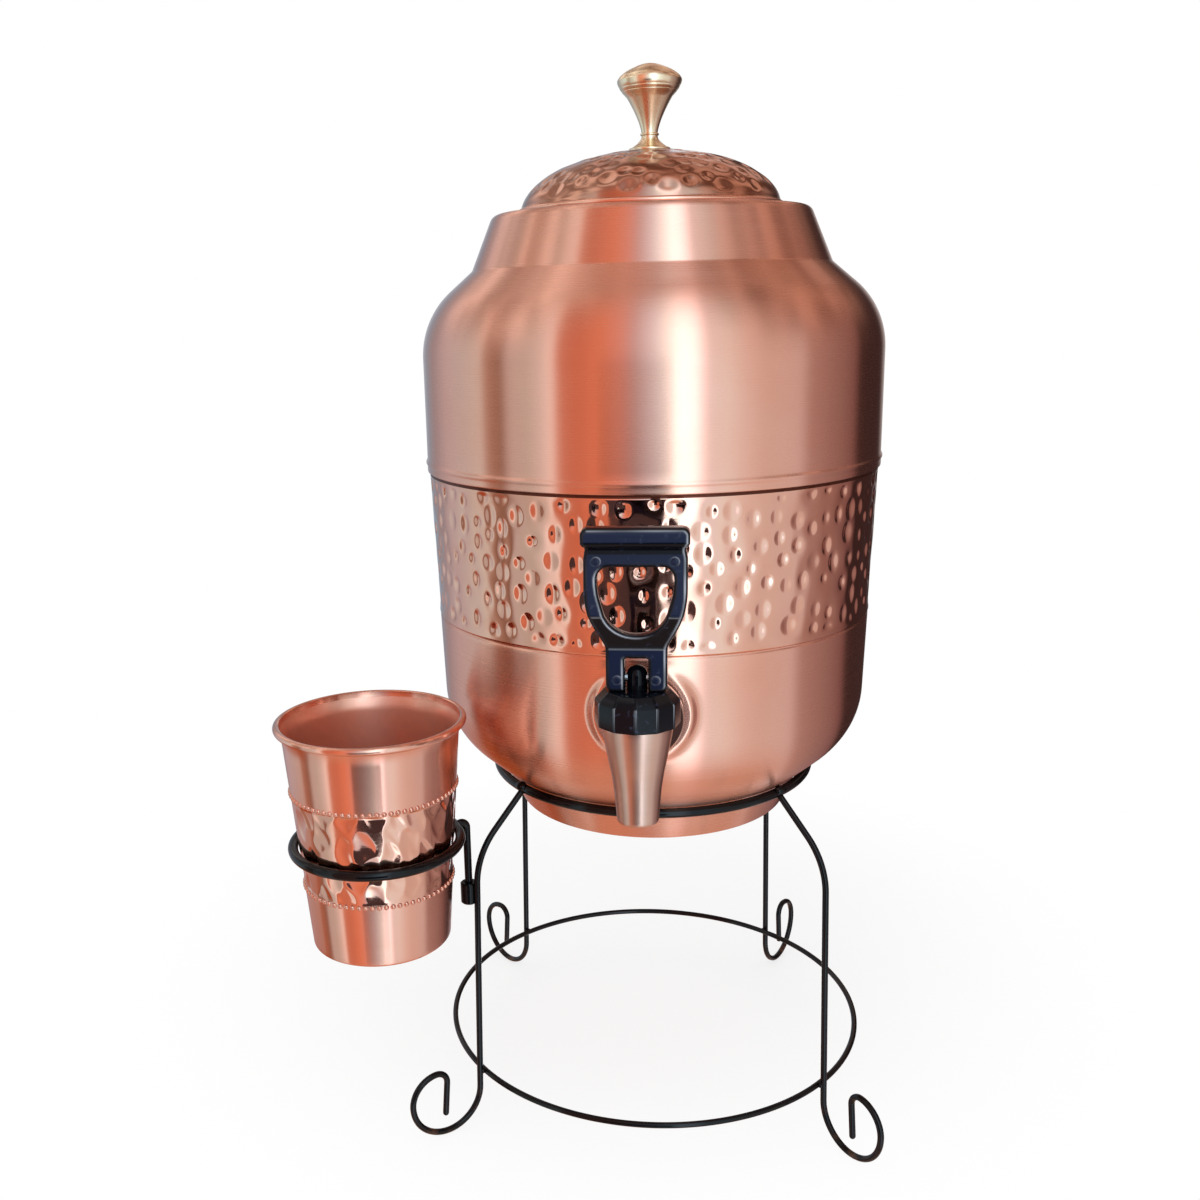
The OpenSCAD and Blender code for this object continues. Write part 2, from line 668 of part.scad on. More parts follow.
module cup_holder() {
    color(black) on_axis() translate([cup_at[0], cup_at[1], 0]) union() {
        wire_ring(holder_r, holder_z, holder_d);
        rotate([0, 0, arm_turn]) {
            bent_wire([holder_r + arm_span / 2, arm_z], arm_span / 2, 0, 180, arm_d);
            straight_wire([holder_r + arm_span, socket_z + 0.5], [holder_r + arm_span, arm_z], arm_d);
            wire_joints([[holder_r, arm_z], [holder_r + arm_span, arm_z]], arm_d);
        }
    }
}

module cup() {
    color(copper) on_axis() translate([cup_at[0], cup_at[1], 0]) difference() {
        union() {
            translate([0, 0, cup_z]) cylinder(r1 = cup_base_r, r2 = cup_rim_r, h = cup_h - rim_wire);
            wire_ring(cup_rim_r, cup_z + cup_h - rim_wire, 2 * rim_wire);
            wire_ring(cup_r(upper_bead_z), upper_bead_z, 2 * bead_line_r);
            wire_ring(cup_r(lower_bead_z), lower_bead_z, 2 * bead_line_r);
        }
        translate([0, 0, cup_z + cup_wall])
            cylinder(r1 = cup_base_r - cup_wall, r2 = cup_rim_r - cup_wall,
                h = cup_h - rim_wire - cup_wall);
        translate([0, 0, cup_z + cup_h - rim_wire - 0.01]) cylinder(r = cup_rim_r - cup_wall, h = 5);
    }
}

pot_lower_shell();
pot_upper_shell();
lid_dome();
lid_collar();
knob();
knob_washer();
knob_nut();
tap_body();
outer_washer();
inner_washer();
lock_nut();
bonnet();
stem();
pivot_pin();
seat_plug();
return_spring();
lever();
upper_ring();
lower_ring();
leg(front_left, 0);  // leg_front_left
leg(front_right, front_foot_turn);  // leg_front_right
leg(back_left, 0);  // leg_back_left
leg(back_right, back_foot_turn);  // leg_back_right
holder_socket();
cup_holder();
cup();
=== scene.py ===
"""Copper water dispenser: the looks of a hammered copper pot with lid, lever tap, wire stand and tumbler."""
import math
import random

import bpy
import numpy as np
from mathutils import Matrix, Vector
from mathutils.geometry import delaunay_2d_cdt


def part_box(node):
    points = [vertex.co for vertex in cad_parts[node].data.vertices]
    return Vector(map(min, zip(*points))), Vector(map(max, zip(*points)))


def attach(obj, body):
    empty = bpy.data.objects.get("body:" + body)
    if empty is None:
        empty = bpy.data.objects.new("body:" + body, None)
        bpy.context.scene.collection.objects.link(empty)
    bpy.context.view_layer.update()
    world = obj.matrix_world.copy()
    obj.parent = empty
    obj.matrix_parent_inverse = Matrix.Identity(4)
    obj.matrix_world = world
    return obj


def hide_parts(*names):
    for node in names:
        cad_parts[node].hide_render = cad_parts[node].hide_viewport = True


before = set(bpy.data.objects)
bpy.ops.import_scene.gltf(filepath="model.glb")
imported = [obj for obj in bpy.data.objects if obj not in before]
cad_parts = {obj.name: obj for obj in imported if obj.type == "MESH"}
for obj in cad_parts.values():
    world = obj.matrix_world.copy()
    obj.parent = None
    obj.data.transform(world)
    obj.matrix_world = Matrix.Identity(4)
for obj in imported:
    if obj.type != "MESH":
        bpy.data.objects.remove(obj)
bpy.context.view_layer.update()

bl_info = {
    "name": "Copper water dispenser",
    "version": (1, 0, 0),
    "blender": (4, 5, 0),
    "location": "View3D > Sidebar > Dispenser",
    "description": "Dresses the dispenser's frame with hammered copper, brass, black plastic and wire",
    "category": "Object",
}

MM = 0.001


# Places that come from the frame
BOXES = {node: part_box(node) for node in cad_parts}


def middle(node):
    """Middle of a node's box."""
    low, high = BOXES[node]
    return (low + high) / 2


def low_z(node):
    """Height of a node's lowest point."""
    return BOXES[node][0].z


def high_z(node):
    """Height of a node's highest point."""
    return BOXES[node][1].z


def half_width(node):
    """Half of a node's width along X."""
    low, high = BOXES[node]
    return (high.x - low.x) / 2


def depth(node):
    """Height of a node from its lowest to its highest point."""
    return high_z(node) - low_z(node)


def ring_radius(node):
    """Radius of a round wire ring at the middle of its wire."""
    return half_width(node) - depth(node) / 2


POT_AXIS = middle("lid_dome").xy
TAP_AXIS = middle("bonnet").xy
CUP_AXIS = middle("cup").xy
SOCKET_AXIS = middle("holder_socket").xy


# Settings
def length(name, description, millimetres):
    """Length setting, given in millimetres and kept in metres."""
    return bpy.props.FloatProperty(name=name, description=description, default=millimetres * MM,
                                   precision=5, subtype="DISTANCE", unit="LENGTH")


def angle(name, description, degrees):
    """Angle setting, given in degrees and kept in radians."""
    return bpy.props.FloatProperty(name=name, description=description, default=math.radians(degrees),
                                   subtype="ANGLE", unit="ROTATION")


def number(name, description, default):
    """Plain number setting."""
    return bpy.props.FloatProperty(name=name, description=description, default=default)


def count(name, description, default):
    """Whole number setting."""
    return bpy.props.IntProperty(name=name, description=description, default=default, min=1)


def colour(name, description, default):
    """Colour setting."""
    return bpy.props.FloatVectorProperty(name=name, description=description, default=default,
                                         size=3, min=0.0, max=1.0, subtype="COLOR")


class PotSizes(bpy.types.PropertyGroup):
    """Sizes of the two copper shells"""
    wall: length("Sheet", "Thickness of the copper sheet", 1.2)
    base_r: length("Base radius", "Radius of the flat base", 59)
    waist_r: length("Waist radius", "Radius of the waist under the upper ring", 66.5)
    waist_up: length("Waist height", "Height of the waist over the base", 16.2)
    bowl_r: length("Bowl radius", "Radius where the bowl turns into the side", 91.6)
    bowl_up: length("Bowl height", "Height where the bowl turns into the side, over the base", 38)
    bowl_round: length("Bowl rounding", "Rounding between bowl and side", 35)
    band_up: length("Band height", "Height of the groove under the hammered band, over the base", 87.8)
    seam_r: length("Seam radius", "Radius of the lower shell at the seam", 95)
    upper_r: length("Upper radius", "Radius of the upper shell", 95.8)
    shoulder_up: length("Shoulder height", "Height of the shoulder over the seam, before rounding", 62.7)
    shoulder_round: length("Shoulder rounding", "Rounding of the shoulder", 35)
    crease_r: length("Crease radius", "Radius of the crease between shoulder and neck", 74)
    crease_up: length("Crease height", "Height of the crease over the seam", 81.2)
    neck_r: length("Neck radius", "Radius of the neck at its top", 64.8)
    mouth_r: length("Mouth radius", "Radius of the mouth", 49.5)
    pad_r: length("Pad radius", "Radius of the flat pad around the tap", 20)
    pad_y: length("Pad distance", "Distance of the pad from the pot's axis", 92.97)
    dent_gap: length("Dent spacing", "Least distance between two hammer dents", 7.4)
    dent_r: length("Dent radius", "Mean radius of a hammer dent", 3.1)
    dent_deep: length("Dent depth", "Depth of a hammer dent", 0.68)


class LidSizes(bpy.types.PropertyGroup):
    """Sizes of the lid and its knob"""
    sheet: length("Sheet", "Thickness of the lid's sheet", 1)
    dome_r: length("Dome radius", "Radius of the dome at its edge", 53.1)
    dome_h: length("Dome height", "Height of the dome", 23.7)
    hem: length("Hem", "Radius of the rolled hem", 1.1)
    seat_r: length("Knob seat", "Radius of the flat that the knob stands on", 9)
    dent_gap: length("Dent spacing", "Least distance between two hammer dents", 6.1)
    dent_r: length("Dent radius", "Mean radius of a hammer dent", 4.3)
    dent_deep: length("Dent depth", "Depth of a hammer dent", 0.5)
    knob_r: length("Knob radius", "Radius of the knob where it is widest", 13)
    knob_widest: length("Knob widest", "Height of the knob's widest part over the lid", 26.4)
    knob_base_r: length("Knob base", "Radius of the knob's base", 8.5)
    knob_waist_r: length("Knob waist", "Radius of the knob's waist", 3.3)
    knob_waist_up: length("Waist height", "Height of the knob's waist over the lid", 6.4)
    stud_r: length("Stud radius", "Radius of the stud under the knob", 2.4)


class TapSizes(bpy.types.PropertyGroup):
    """Sizes of the tap, its bonnet and its lever"""
    tip_r: length("Tip radius", "Radius of the nozzle's lower end", 7.4)
    cone_r: length("Cone radius", "Radius of the nozzle's upper end", 12.6)
    bore_r: length("Bore radius", "Radius of the nozzle's bore", 5.9)
    shank_z: length("Shank height", "Height of the shank's axis", 201)
    bar_r: length("Neck radius", "Radius of the bar between nozzle and flange", 9.4)
    flange_r: length("Flange radius", "Radius of the flange", 16)
    flange_h: length("Flange thickness", "Thickness of the flange", 3)
    shank_r: length("Shank radius", "Radius of the shank", 8)
    bonnet_edge: length("Bonnet slope", "Height of the bonnet's sloping edge", 3.7)
    facets: count("Bonnet facets", "Number of facets around the bonnet", 12)
    stem_r: length("Stem radius", "Radius of the stem", 3.5)
    bar_half: length("Bar half width", "Half width of the lever's top bar", 18)
    paddle_half: length("Paddle half width", "Half width of the lever's paddle", 17.3)
    fork_half: length("Fork half width", "Half width of the lever's fork", 10.5)
    slot_half: length("Slot half width", "Half width of the slot in the fork", 4)
    finger_half: length("Finger hole half width", "Half width of the finger hole at its top", 12.8)
    fork_up: length("Fork height", "Height of the fork over the bonnet", 16)
    paddle_up: length("Paddle height", "Height of the paddle's lower edge over the bonnet", 28)
    bar_up: length("Bar height", "Height of the top bar's lower edge over the bonnet", 51.2)
    finger_low: length("Finger hole low", "Height of the finger hole's lower edge over the bonnet", 20.5)
    finger_high: length("Finger hole high", "Height of the finger hole's upper edge over the bonnet", 44.5)
    slot_up: length("Slot height", "Height of the slot over the bonnet", 12)
    edge: length("Edge rounding", "Rounding of the lever's edges", 0.9)


class StandSizes(bpy.types.PropertyGroup):
    """Sizes of the wire stand and the tumbler's holder"""
    leg_d: length("Leg wire", "Diameter of the legs' wire", 2.7)
    splay: angle("Splay", "Outward lean of the legs towards the floor", 1.5)
    slope: angle("Slope", "Slope of the legs' upper part", 45)
    bend: length("Leg bend", "Bend radius of the leg's shoulder", 32.8)
    foot_inner: length("Inner arc", "Bend radius of the foot's inner arc", 16.2)
    foot_outer: length("Outer arc", "Bend radius of the foot's outer arc", 17.5)
    foot_top: length("Top arc", "Bend radius of the foot's top arc", 11.8)
    foot_curl: length("Curl", "Bend radius of the foot's curl", 5.3)
    foot_tail: length("Tail", "Length of the foot's straight tail", 14.5)
    tail_turn: angle("Tail turn", "Turn at which the curl ends", 185)
    foot_flat: length("Worn flat", "Depth of the flat worn under each foot", 0.15)
    weld: length("Weld", "Overlap of welded wires", 0.3)
    front_left: angle("Front left", "Direction of the front left leg", -139.3)
    front_right: angle("Front right", "Direction of the front right leg", -38.8)
    back_left: angle("Back left", "Direction of the back left leg", 136.2)
    back_right: angle("Back right", "Direction of the back right leg", 53.4)
    front_foot_turn: angle("Front foot turn", "Turn of the front right foot about its leg", -14)
    back_foot_turn: angle("Back foot turn", "Turn of the back right foot about its leg", 9)
    arm_d: length("Arm wire", "Diameter of the holder arm's wire", 3.2)
    holder_d: length("Holder wire", "Diameter of the holder ring's wire", 4.2)
    holder_gap: length("Holder gap", "Space between the tumbler and its holder ring", 0.3)
    arm_drop: length("Arm drop", "How far the arm leaves the ring below the middle of its wire", 1.6)


class CupSizes(bpy.types.PropertyGroup):
    """Sizes of the tumbler"""
    base_r: length("Base radius", "Radius of the wall at the base", 28.5)
    rim_r: length("Rim radius", "Radius of the wall at the rim", 36)
    rim_wire: length("Rim roll", "Radius of the rolled rim", 1.5)
    wall: length("Sheet", "Thickness of the sheet", 0.9)
    flare: length("Flare", "How far the rim flares out", 1.2)
    upper_bead: length("Upper beads", "Height of the upper beaded line over the base", 67.3)
    lower_bead: length("Lower beads", "Height of the lower beaded line over the base", 27)
    bead_r: length("Bead radius", "Radius of one bead", 1.15)
    bead_pitch: length("Bead pitch", "Distance between two beads", 2.7)
    facet_gap: length("Facet spacing", "Least distance between two hammered facets", 6.9)
    facet_deep: length("Facet depth", "Depth of the hammered facets", 0.6)


class FinishColours(bpy.types.PropertyGroup):
    """Colours of the finishes"""
    copper: colour("Copper", "Satin copper of pot and tumbler", (0.81, 0.44, 0.335))
    copper_bright: colour("Bright copper", "Polished copper of the hammered bands", (0.76, 0.42, 0.315))
    copper_lid: colour("Lid copper", "Polished copper of the lid", (0.53, 0.285, 0.205))
    # Painted shade: near-black copper in the seam under the upper shell's lip
    tarnish: colour("Tarnish", "Dark copper in the seam over the hammered band", (0.12, 0.035, 0.02))
    copper_matt: colour("Matt copper", "Unpolished copper inside the tumbler", (0.88, 0.45, 0.33))
    brass: colour("Brass", "Turned brass of the knob", (0.94, 0.77, 0.54))
    nozzle: colour("Nozzle", "Brushed bronze steel of the tap", (0.64, 0.42, 0.335))
    plastic: colour("Plastic", "Black plastic of lever and bonnet", (0.003, 0.004, 0.007))
    # Painted reflection: the bluish tone of the lever's flat faces
    plastic_reflected_blue: colour("Flat plastic", "Bluish black of the lever's flat faces", (0.012, 0.019, 0.050))
    # Painted highlight: the pale colour of lines along the black plastic's edges, corners, ledges and marks
    rubbed: colour("Highlighted edges", "Pale edges of the black plastic", (0.55, 0.60, 0.70))
    wire: colour("Wire", "Black coating of the wire", (0.004, 0.004, 0.005))
    # Painted reflection: the brown blotches on the wire next to the floor
    bare_wire: colour("Bare wire", "Brown where the coating is worn", (0.10, 0.045, 0.025))
    seal: colour("Seal", "Soft silicone seals", (0.72, 0.71, 0.68))
    steel: colour("Steel", "Plain steel of nut, pin and spring", (0.60, 0.60, 0.60))


class StageSettings(bpy.types.PropertyGroup):
    """Camera, floor and light"""
    eye: bpy.props.FloatVectorProperty(name="Eye", description="Place of the camera", size=3,
                                       default=(0.04478, -0.53252, 0.35272), subtype="TRANSLATION",
                                       unit="LENGTH")
    yaw: angle("Yaw", "Turn of the camera about Z", 7.8266)
    pitch: angle("Pitch", "Tilt of the camera up from straight down", 75.413)
    roll: angle("Roll", "Roll of the camera", -1.5958)
    lens: number("Lens", "Focal length in millimetres on a 36 mm sensor", 38.018)
    shift_x: number("Shift X", "Sideways shift of the lens", 0.06003)
    shift_y: number("Shift Y", "Upward shift of the lens", 0.02764)
    soft_light: number("Soft light", "Strength of the even light", 0.82)
    lamp: number("Lamp", "Power of the overhead lamp in watts", 3.0)
    shadow: number("Shadow", "Share of the floor's look that takes the shadow", 0.26)
    card_far: length("Card distance", "Distance of the dark card in front of the origin", 540)
    card_middle: length("Card middle", "Middle of the dark card along X", -25)
    card_half: length("Card half width", "Half width of the dark card", 165)
    card_low: length("Card low", "Height of the dark card's lower edge", -165)
    card_high: length("Card high", "Height of the dark card's upper edge", 193)


class DispenserSettings(bpy.types.PropertyGroup):
    """All settings of the dispenser"""
    pot: bpy.props.PointerProperty(type=PotSizes, name="Pot", description="Sizes of the pot")
    lid: bpy.props.PointerProperty(type=LidSizes, name="Lid", description="Sizes of lid and knob")
    tap: bpy.props.PointerProperty(type=TapSizes, name="Tap", description="Sizes of tap and lever")
    stand: bpy.props.PointerProperty(type=StandSizes, name="Stand", description="Sizes of the stand")
    cup: bpy.props.PointerProperty(type=CupSizes, name="Cup", description="Sizes of the tumbler")
    colours: bpy.props.PointerProperty(type=FinishColours, name="Colours", description="Finish colours")
    stage: bpy.props.PointerProperty(type=StageSettings, name="Stage", description="Camera and light")


def settings():
    """The dispenser's settings in the open scene."""
    return bpy.context.scene.dispenser


def tone(name):
    """A finish colour by the name of its setting."""
    return tuple(getattr(settings().colours, name))


# Plane geometry of profiles and paths
def polar(radius, turn):
    """Point at a radius and a turn in radians."""
    return Vector((radius * math.cos(turn), radius * math.sin(turn)))


def arc(centre, radius, start, end, steps):
    """Points along an arc, both ends included."""
    return [centre + polar(radius, start + (end - start) * i / steps) for i in range(steps + 1)]


def rounded(a, b, c, radius, steps=8):
    """Corner b of the path a, b, c replaced by an arc."""
    to_a = (a - b).normalized()
    to_c = (c - b).normalized()
    half = math.acos(max(-1.0, min(1.0, to_a.dot(to_c)))) / 2
    centre = b + (to_a + to_c).normalized() * (radius / math.sin(half))
    start = b + to_a * (radius / math.tan(half)) - centre
    end = b + to_c * (radius / math.tan(half)) - centre
    first = math.atan2(start.y, start.x)
    turn = (math.atan2(end.y, end.x) - first + math.pi) % (2 * math.pi) - math.pi
    return arc(centre, radius, first, first + turn, steps)


def filled(points, step):
    """The same path with extra points so that no stretch is longer than step."""
    path = [points[0]]
    for a, b in zip(points, points[1:]):
        parts = max(1, math.ceil((b - a).length / step))
        path += [a.lerp(b, i / parts) for i in range(1, parts + 1)]
    return path


def inset(points, distance):
    """The path moved to its left by a distance, corner by corner."""
    moved = []
    for i, point in enumerate(points):
        before = (point - points[max(i - 1, 0)]).normalized()
        after = (points[min(i + 1, len(points) - 1)] - point).normalized()
        left = [Vector((-d.y, d.x)) for d in (before, after) if d.length > 0]
        mean = sum(left, Vector((0, 0))).normalized()
        moved.append(point + mean * (distance / max(0.5, mean.dot(left[0]))))
    return moved


def vectors(*pairs):
    """Plane points from pairs of numbers."""
    return [Vector(pair) for pair in pairs]


def offsets(radius, height, *pairs):
    """Profile points by how far out and up they lie from one place, in millimetres."""
    return [Vector((radius + out * MM, height + up * MM)) for out, up in pairs]


def mirrored(points):
    """The path on the other side of the upright axis, run backwards."""
    return [Vector((-p.x, p.y)) for p in reversed(points)]


def circle(axis, radius, height, sides):
    """Points of a level circle round an axis."""
    return [(*(axis + polar(radius, 2 * math.pi * i / sides)), height) for i in range(sides)]


# Meshes
def new_piece(name, node, body, shell, materials, crease=40, painted_light=None):
    """Smooth mesh object that replaces a node and rides on a body.

    shell holds points, faces and each face's material slot. painted_light gives named values, point by
    point, that the finish reads as painted highlights and painted reflections.
    """
    points, faces, face_slots = shell
    mesh = bpy.data.meshes.new(name)
    mesh.from_pydata([tuple(p) for p in points], [], faces)
    for material in materials:
        mesh.materials.append(material)
    mesh.polygons.foreach_set("material_index", np.array(face_slots, dtype=np.int32))
    mesh.polygons.foreach_set("use_smooth", np.ones(len(faces), dtype=bool))
    mesh.set_sharp_from_angle(angle=math.radians(crease))
    for label, values in (painted_light or {}).items():
        layer = mesh.attributes.new(label, "FLOAT", "POINT")
        layer.data.foreach_set("value", np.array(values, dtype=np.float32))
    mesh.validate()
    mesh.update()
    piece = bpy.data.objects.new(name, mesh)
    bpy.context.scene.collection.objects.link(piece)
    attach(piece, body)
    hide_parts(node)


def turned(profile, centre, columns, closed=False, relief=None, slot_at=None):
    """Points, faces and face slots of a piece turned from a profile of (radius, height) points.

    A first or last point on the axis becomes a single pole. relief gives how far the surface stands
    out for arrays of turn, radius and height, and slot_at gives the material slot of a row.
    """
    rows = np.array([tuple(p) for p in profile])
    turns = np.arange(columns) * 2 * math.pi / columns
    along = np.roll(rows, -1, axis=0) - np.roll(rows, 1, axis=0)
    if not closed:
        along[0] = rows[1] - rows[0]
        along[-1] = rows[-1] - rows[-2]
    along /= np.maximum(np.linalg.norm(along, axis=1, keepdims=True), 1e-9)
    turn, radius = np.meshgrid(turns, rows[:, 0])
    height = np.repeat(rows[:, 1:2], columns, axis=1)
    if relief is not None:
        out = relief(turn, radius, height)
        radius = radius + out * along[:, 1:2]
        height = height - out * along[:, 0:1]
    grid = np.stack([centre[0] + radius * np.cos(turn), centre[1] + radius * np.sin(turn), height], axis=2)
    points = []
    first = []
    for i, row in enumerate(grid):
        first.append(len(points))
        pole = not closed and i in (0, len(rows) - 1) and rows[i, 0] < 1e-7
        points.extend(row[:1] if pole else row)
    sizes = np.diff(first + [len(points)])
    faces = []
    slots = []
    for i in range(len(rows) if closed else len(rows) - 1):
        k = (i + 1) % len(rows)
        mid = (rows[i] + rows[k]) / 2
        before = len(faces)
        for j in range(columns):
            n = (j + 1) % columns
            if sizes[i] == 1:
                faces.append((first[i], first[k] + n, first[k] + j))
            elif sizes[k] == 1:
                faces.append((first[i] + j, first[i] + n, first[k]))
            else:
                faces.append((first[i] + j, first[i] + n, first[k] + n, first[k] + j))
        slots += [slot_at(*mid) if slot_at else 0] * (len(faces) - before)
    return points, faces, slots


def joined(*parts):
    """Points, faces and slots of several parts as one."""
    points, faces, slots = [], [], []
    for part_points, part_faces, part_slots in parts:
        shift = len(points)
        points += list(part_points)
        faces += [tuple(i + shift for i in face) for face in part_faces]
        slots += part_slots
    return points, faces, slots


def wire(path, diameter, sides=20, closed=False, floor=None):
    """Round wire along a path of points, with rounded ends where it isn't closed."""
    path = [Vector(p) for p in path]
    radius = diameter / 2
    count_points = len(path)
    heads = []
    for i in range(count_points):
        before = path[i - 1] if closed or i else path[0]
        after = path[(i + 1) % count_points] if closed or i < count_points - 1 else path[-1]
        heads.append((after - before).normalized())
    side = heads[0].orthogonal().normalized()
    rings = []
    for point, head in zip(path, heads):
        side = (side - head * side.dot(head)).normalized()
        rings.append((point, head, side, radius))
    if not closed:
        ends = [math.radians(a) for a in (80, 60, 40, 20)]
        start, start_head, start_side, _ = rings[0]
        stop, stop_head, stop_side, _ = rings[-1]
        nose = [(start - start_head * radius * math.sin(a), start_head, start_side, radius * math.cos(a))
                for a in ends]
        tail = [(stop + stop_head * radius * math.sin(a), stop_head, stop_side, radius * math.cos(a))
                for a in reversed(ends)]
        rings = nose + rings + tail
    points = []
    for point, head, side, r in rings:
        up = head.cross(side)
        for j in range(sides):
            a = 2 * math.pi * j / sides
            points.append(point + side * (r * math.cos(a)) + up * (r * math.sin(a)))
    faces = []
    for i in range(len(rings) if closed else len(rings) - 1):
        k = (i + 1) % len(rings)
        for j in range(sides):
            n = (j + 1) % sides
            faces.append((i * sides + j, i * sides + n, k * sides + n, k * sides + j))
    if not closed:
        faces.append(tuple(reversed(range(sides))))
        faces.append(tuple(range((len(rings) - 1) * sides, len(rings) * sides)))
    if floor is not None:
        points = [Vector((p.x, p.y, max(p.z, floor))) for p in points]
    return points, faces, [0] * len(faces)


def ball(centre, size, place=Matrix(), rings=10, sides=16):
    """Ball or egg of the given half sizes, moved to a place."""
    profile = [(math.cos(a), math.sin(a)) for a in np.linspace(-math.pi / 2, math.pi / 2, rings + 1)]
    profile[0] = (0, -1)
    profile[-1] = (0, 1)
    points, faces, slots = turned(profile, (0, 0), sides)
    return [place @ (Vector(centre) + Vector(p) * Vector(size)) for p in points], faces, slots


def scattered(width, height, gap, seed, tries=9000):
    """Random places on a strip that closes on itself along its width, none nearer than gap."""
    dice = random.Random(seed)
    places = np.empty((0, 2))
    for _ in range(tries):
        place = np.array((dice.uniform(0, width), dice.uniform(0, height)))
        away = np.abs(places - place)
        away[:, 0] = np.minimum(away[:, 0], width - away[:, 0])
        if not len(places) or (away ** 2).sum(axis=1).min() > gap ** 2:
            places = np.vstack([places, place])
    return places


def dents(across, up, places, width, radius, deep, seed):
    """Depth of hammer dents, each with a soft skirt, at arrays of distance across and up a strip."""
    dice = random.Random(seed)
    pits = np.zeros_like(across)
    skirts = np.zeros_like(across)
    columns = across.shape[1]
    for place in places:
        r = radius * dice.uniform(0.7, 1.35)
        d = deep * dice.uniform(0.55, 1.25)
        oval = dice.uniform(1.0, 1.25)
        rows = np.nonzero(np.abs(up[:, 0] - place[1]) < 3 * r)[0]
        reach = int(3 * r / width * columns) + 1
        nearest = int(place[0] / width * columns)
        patch = np.ix_(rows, np.arange(nearest - reach, nearest + reach + 1) % columns)
        gap = np.abs(across[patch] - place[0])
        gap = np.minimum(gap, width - gap) * oval
        t = (gap ** 2 + ((up[patch] - place[1]) / oval) ** 2) / r ** 2
        pits[patch] = np.maximum(pits[patch], d * np.clip(1 - t, 0, 1) ** 1.5)
        skirts[patch] += 0.4 * d * np.exp(-t / 2.2)
    return pits + skirts


def waves(turn, height, seed, strength, pitch):
    """Gentle unevenness of beaten sheet, from a few crossed waves."""
    dice = random.Random(seed)
    total = np.zeros_like(turn)
    for _ in range(7):
        lobes = dice.randint(3, 14)
        total += np.sin(lobes * turn + height / pitch * dice.uniform(0.4, 1.6) + dice.uniform(0, 6.3))
    return strength * total / 7


# Shader nodes
def add(tree, kind, inputs=None, **attributes):
    """New node with its attributes set and its inputs set or linked."""
    node = tree.nodes.new(kind)
    for key, value in attributes.items():
        setattr(node, key, value)
    for key, value in (inputs or {}).items():
        if isinstance(value, bpy.types.NodeSocket):
            tree.links.new(value, node.inputs[key])
        else:
            node.inputs[key].default_value = value
    return node


def maths(tree, operation, first, second=0.0, clamp=False):
    """Result of a sum with one or two values."""
    node = add(tree, "ShaderNodeMath", {0: first, 1: second}, operation=operation, use_clamp=clamp)
    return node.outputs[0]


def ranged(tree, value, low=0.0, high=1.0, start=0.0, end=1.0, smooth=False):
    """Value that goes from low to high while another goes from start to end."""
    limits = {"Value": value, "From Min": start, "From Max": end, "To Min": low, "To Max": high}
    kind = "SMOOTHSTEP" if smooth else "LINEAR"
    return add(tree, "ShaderNodeMapRange", limits, interpolation_type=kind).outputs[0]


def noise(tree, place, scale, detail, rough=0.5, distortion=0.0):
    """Cloudy noise from 0 to 1."""
    values = {"Vector": place, "Scale": scale, "Detail": detail, "Roughness": rough,
              "Distortion": distortion}
    return add(tree, "ShaderNodeTexNoise", values).outputs["Fac"]


def own_place(tree):
    """Place on the piece in metres."""
    return add(tree, "ShaderNodeTexCoord").outputs["Object"]


def stretched(tree, place, scale):
    """Place stretched along each axis."""
    return add(tree, "ShaderNodeVectorMath", {0: place, 1: scale}, operation="MULTIPLY").outputs[0]


def round_tangent(tree):
    """Direction of the brush lines of a piece that was brushed while it turned."""
    return add(tree, "ShaderNodeTangent", direction_type="RADIAL", axis="Z").outputs[0]


def blended(tree, mask, first, second):
    """Colour between two colours by a mask."""
    mix = add(tree, "ShaderNodeMix", data_type="RGBA")
    tree.links.new(mask, mix.inputs[0])
    for index, value in ((6, first), (7, second)):
        if isinstance(value, bpy.types.NodeSocket):
            tree.links.new(value, mix.inputs[index])
        else:
            mix.inputs[index].default_value = (*value, 1.0)
    return mix.outputs[2]


def bumped(tree, height, strength, distance):
    """Normal of a bump from a height."""
    node = add(tree, "ShaderNodeBump", {"Height": height, "Strength": strength, "Distance": distance})
    return node.outputs[0]


def shade(rgb, *factors):
    """A colour made lighter or darker, all over or by one factor for each of red, green and blue."""
    each = factors * 3 if len(factors) == 1 else factors
    return tuple(min(1.0, c * factor) for c, factor in zip(rgb, each))


# Effects that several finishes share
def effect(name, inputs, outputs, build):
    """Shader node group with named sockets, built once."""
    tree = bpy.data.node_groups.get(name)
    if tree is None:
        tree = bpy.data.node_groups.new(name, "ShaderNodeTree")
        for label, value in inputs.items():
            socket = tree.interface.new_socket(label, in_out="INPUT", socket_type="NodeSocketFloat")
            socket.default_value = value
        for label in outputs:
            tree.interface.new_socket(label, in_out="OUTPUT", socket_type="NodeSocketFloat")
        entry = tree.nodes.new("NodeGroupInput")
        leave = tree.nodes.new("NodeGroupOutput")
        for label, socket in build(tree, entry.outputs).items():
            tree.links.new(socket, leave.inputs[label])
    return tree


def placed(tree, group, **values):
    """A shader node group placed in a material with its own values."""
    node = tree.nodes.new("ShaderNodeGroup")
    node.node_tree = group
    for label, value in values.items():
        node.inputs[label].default_value = value
    return node.outputs


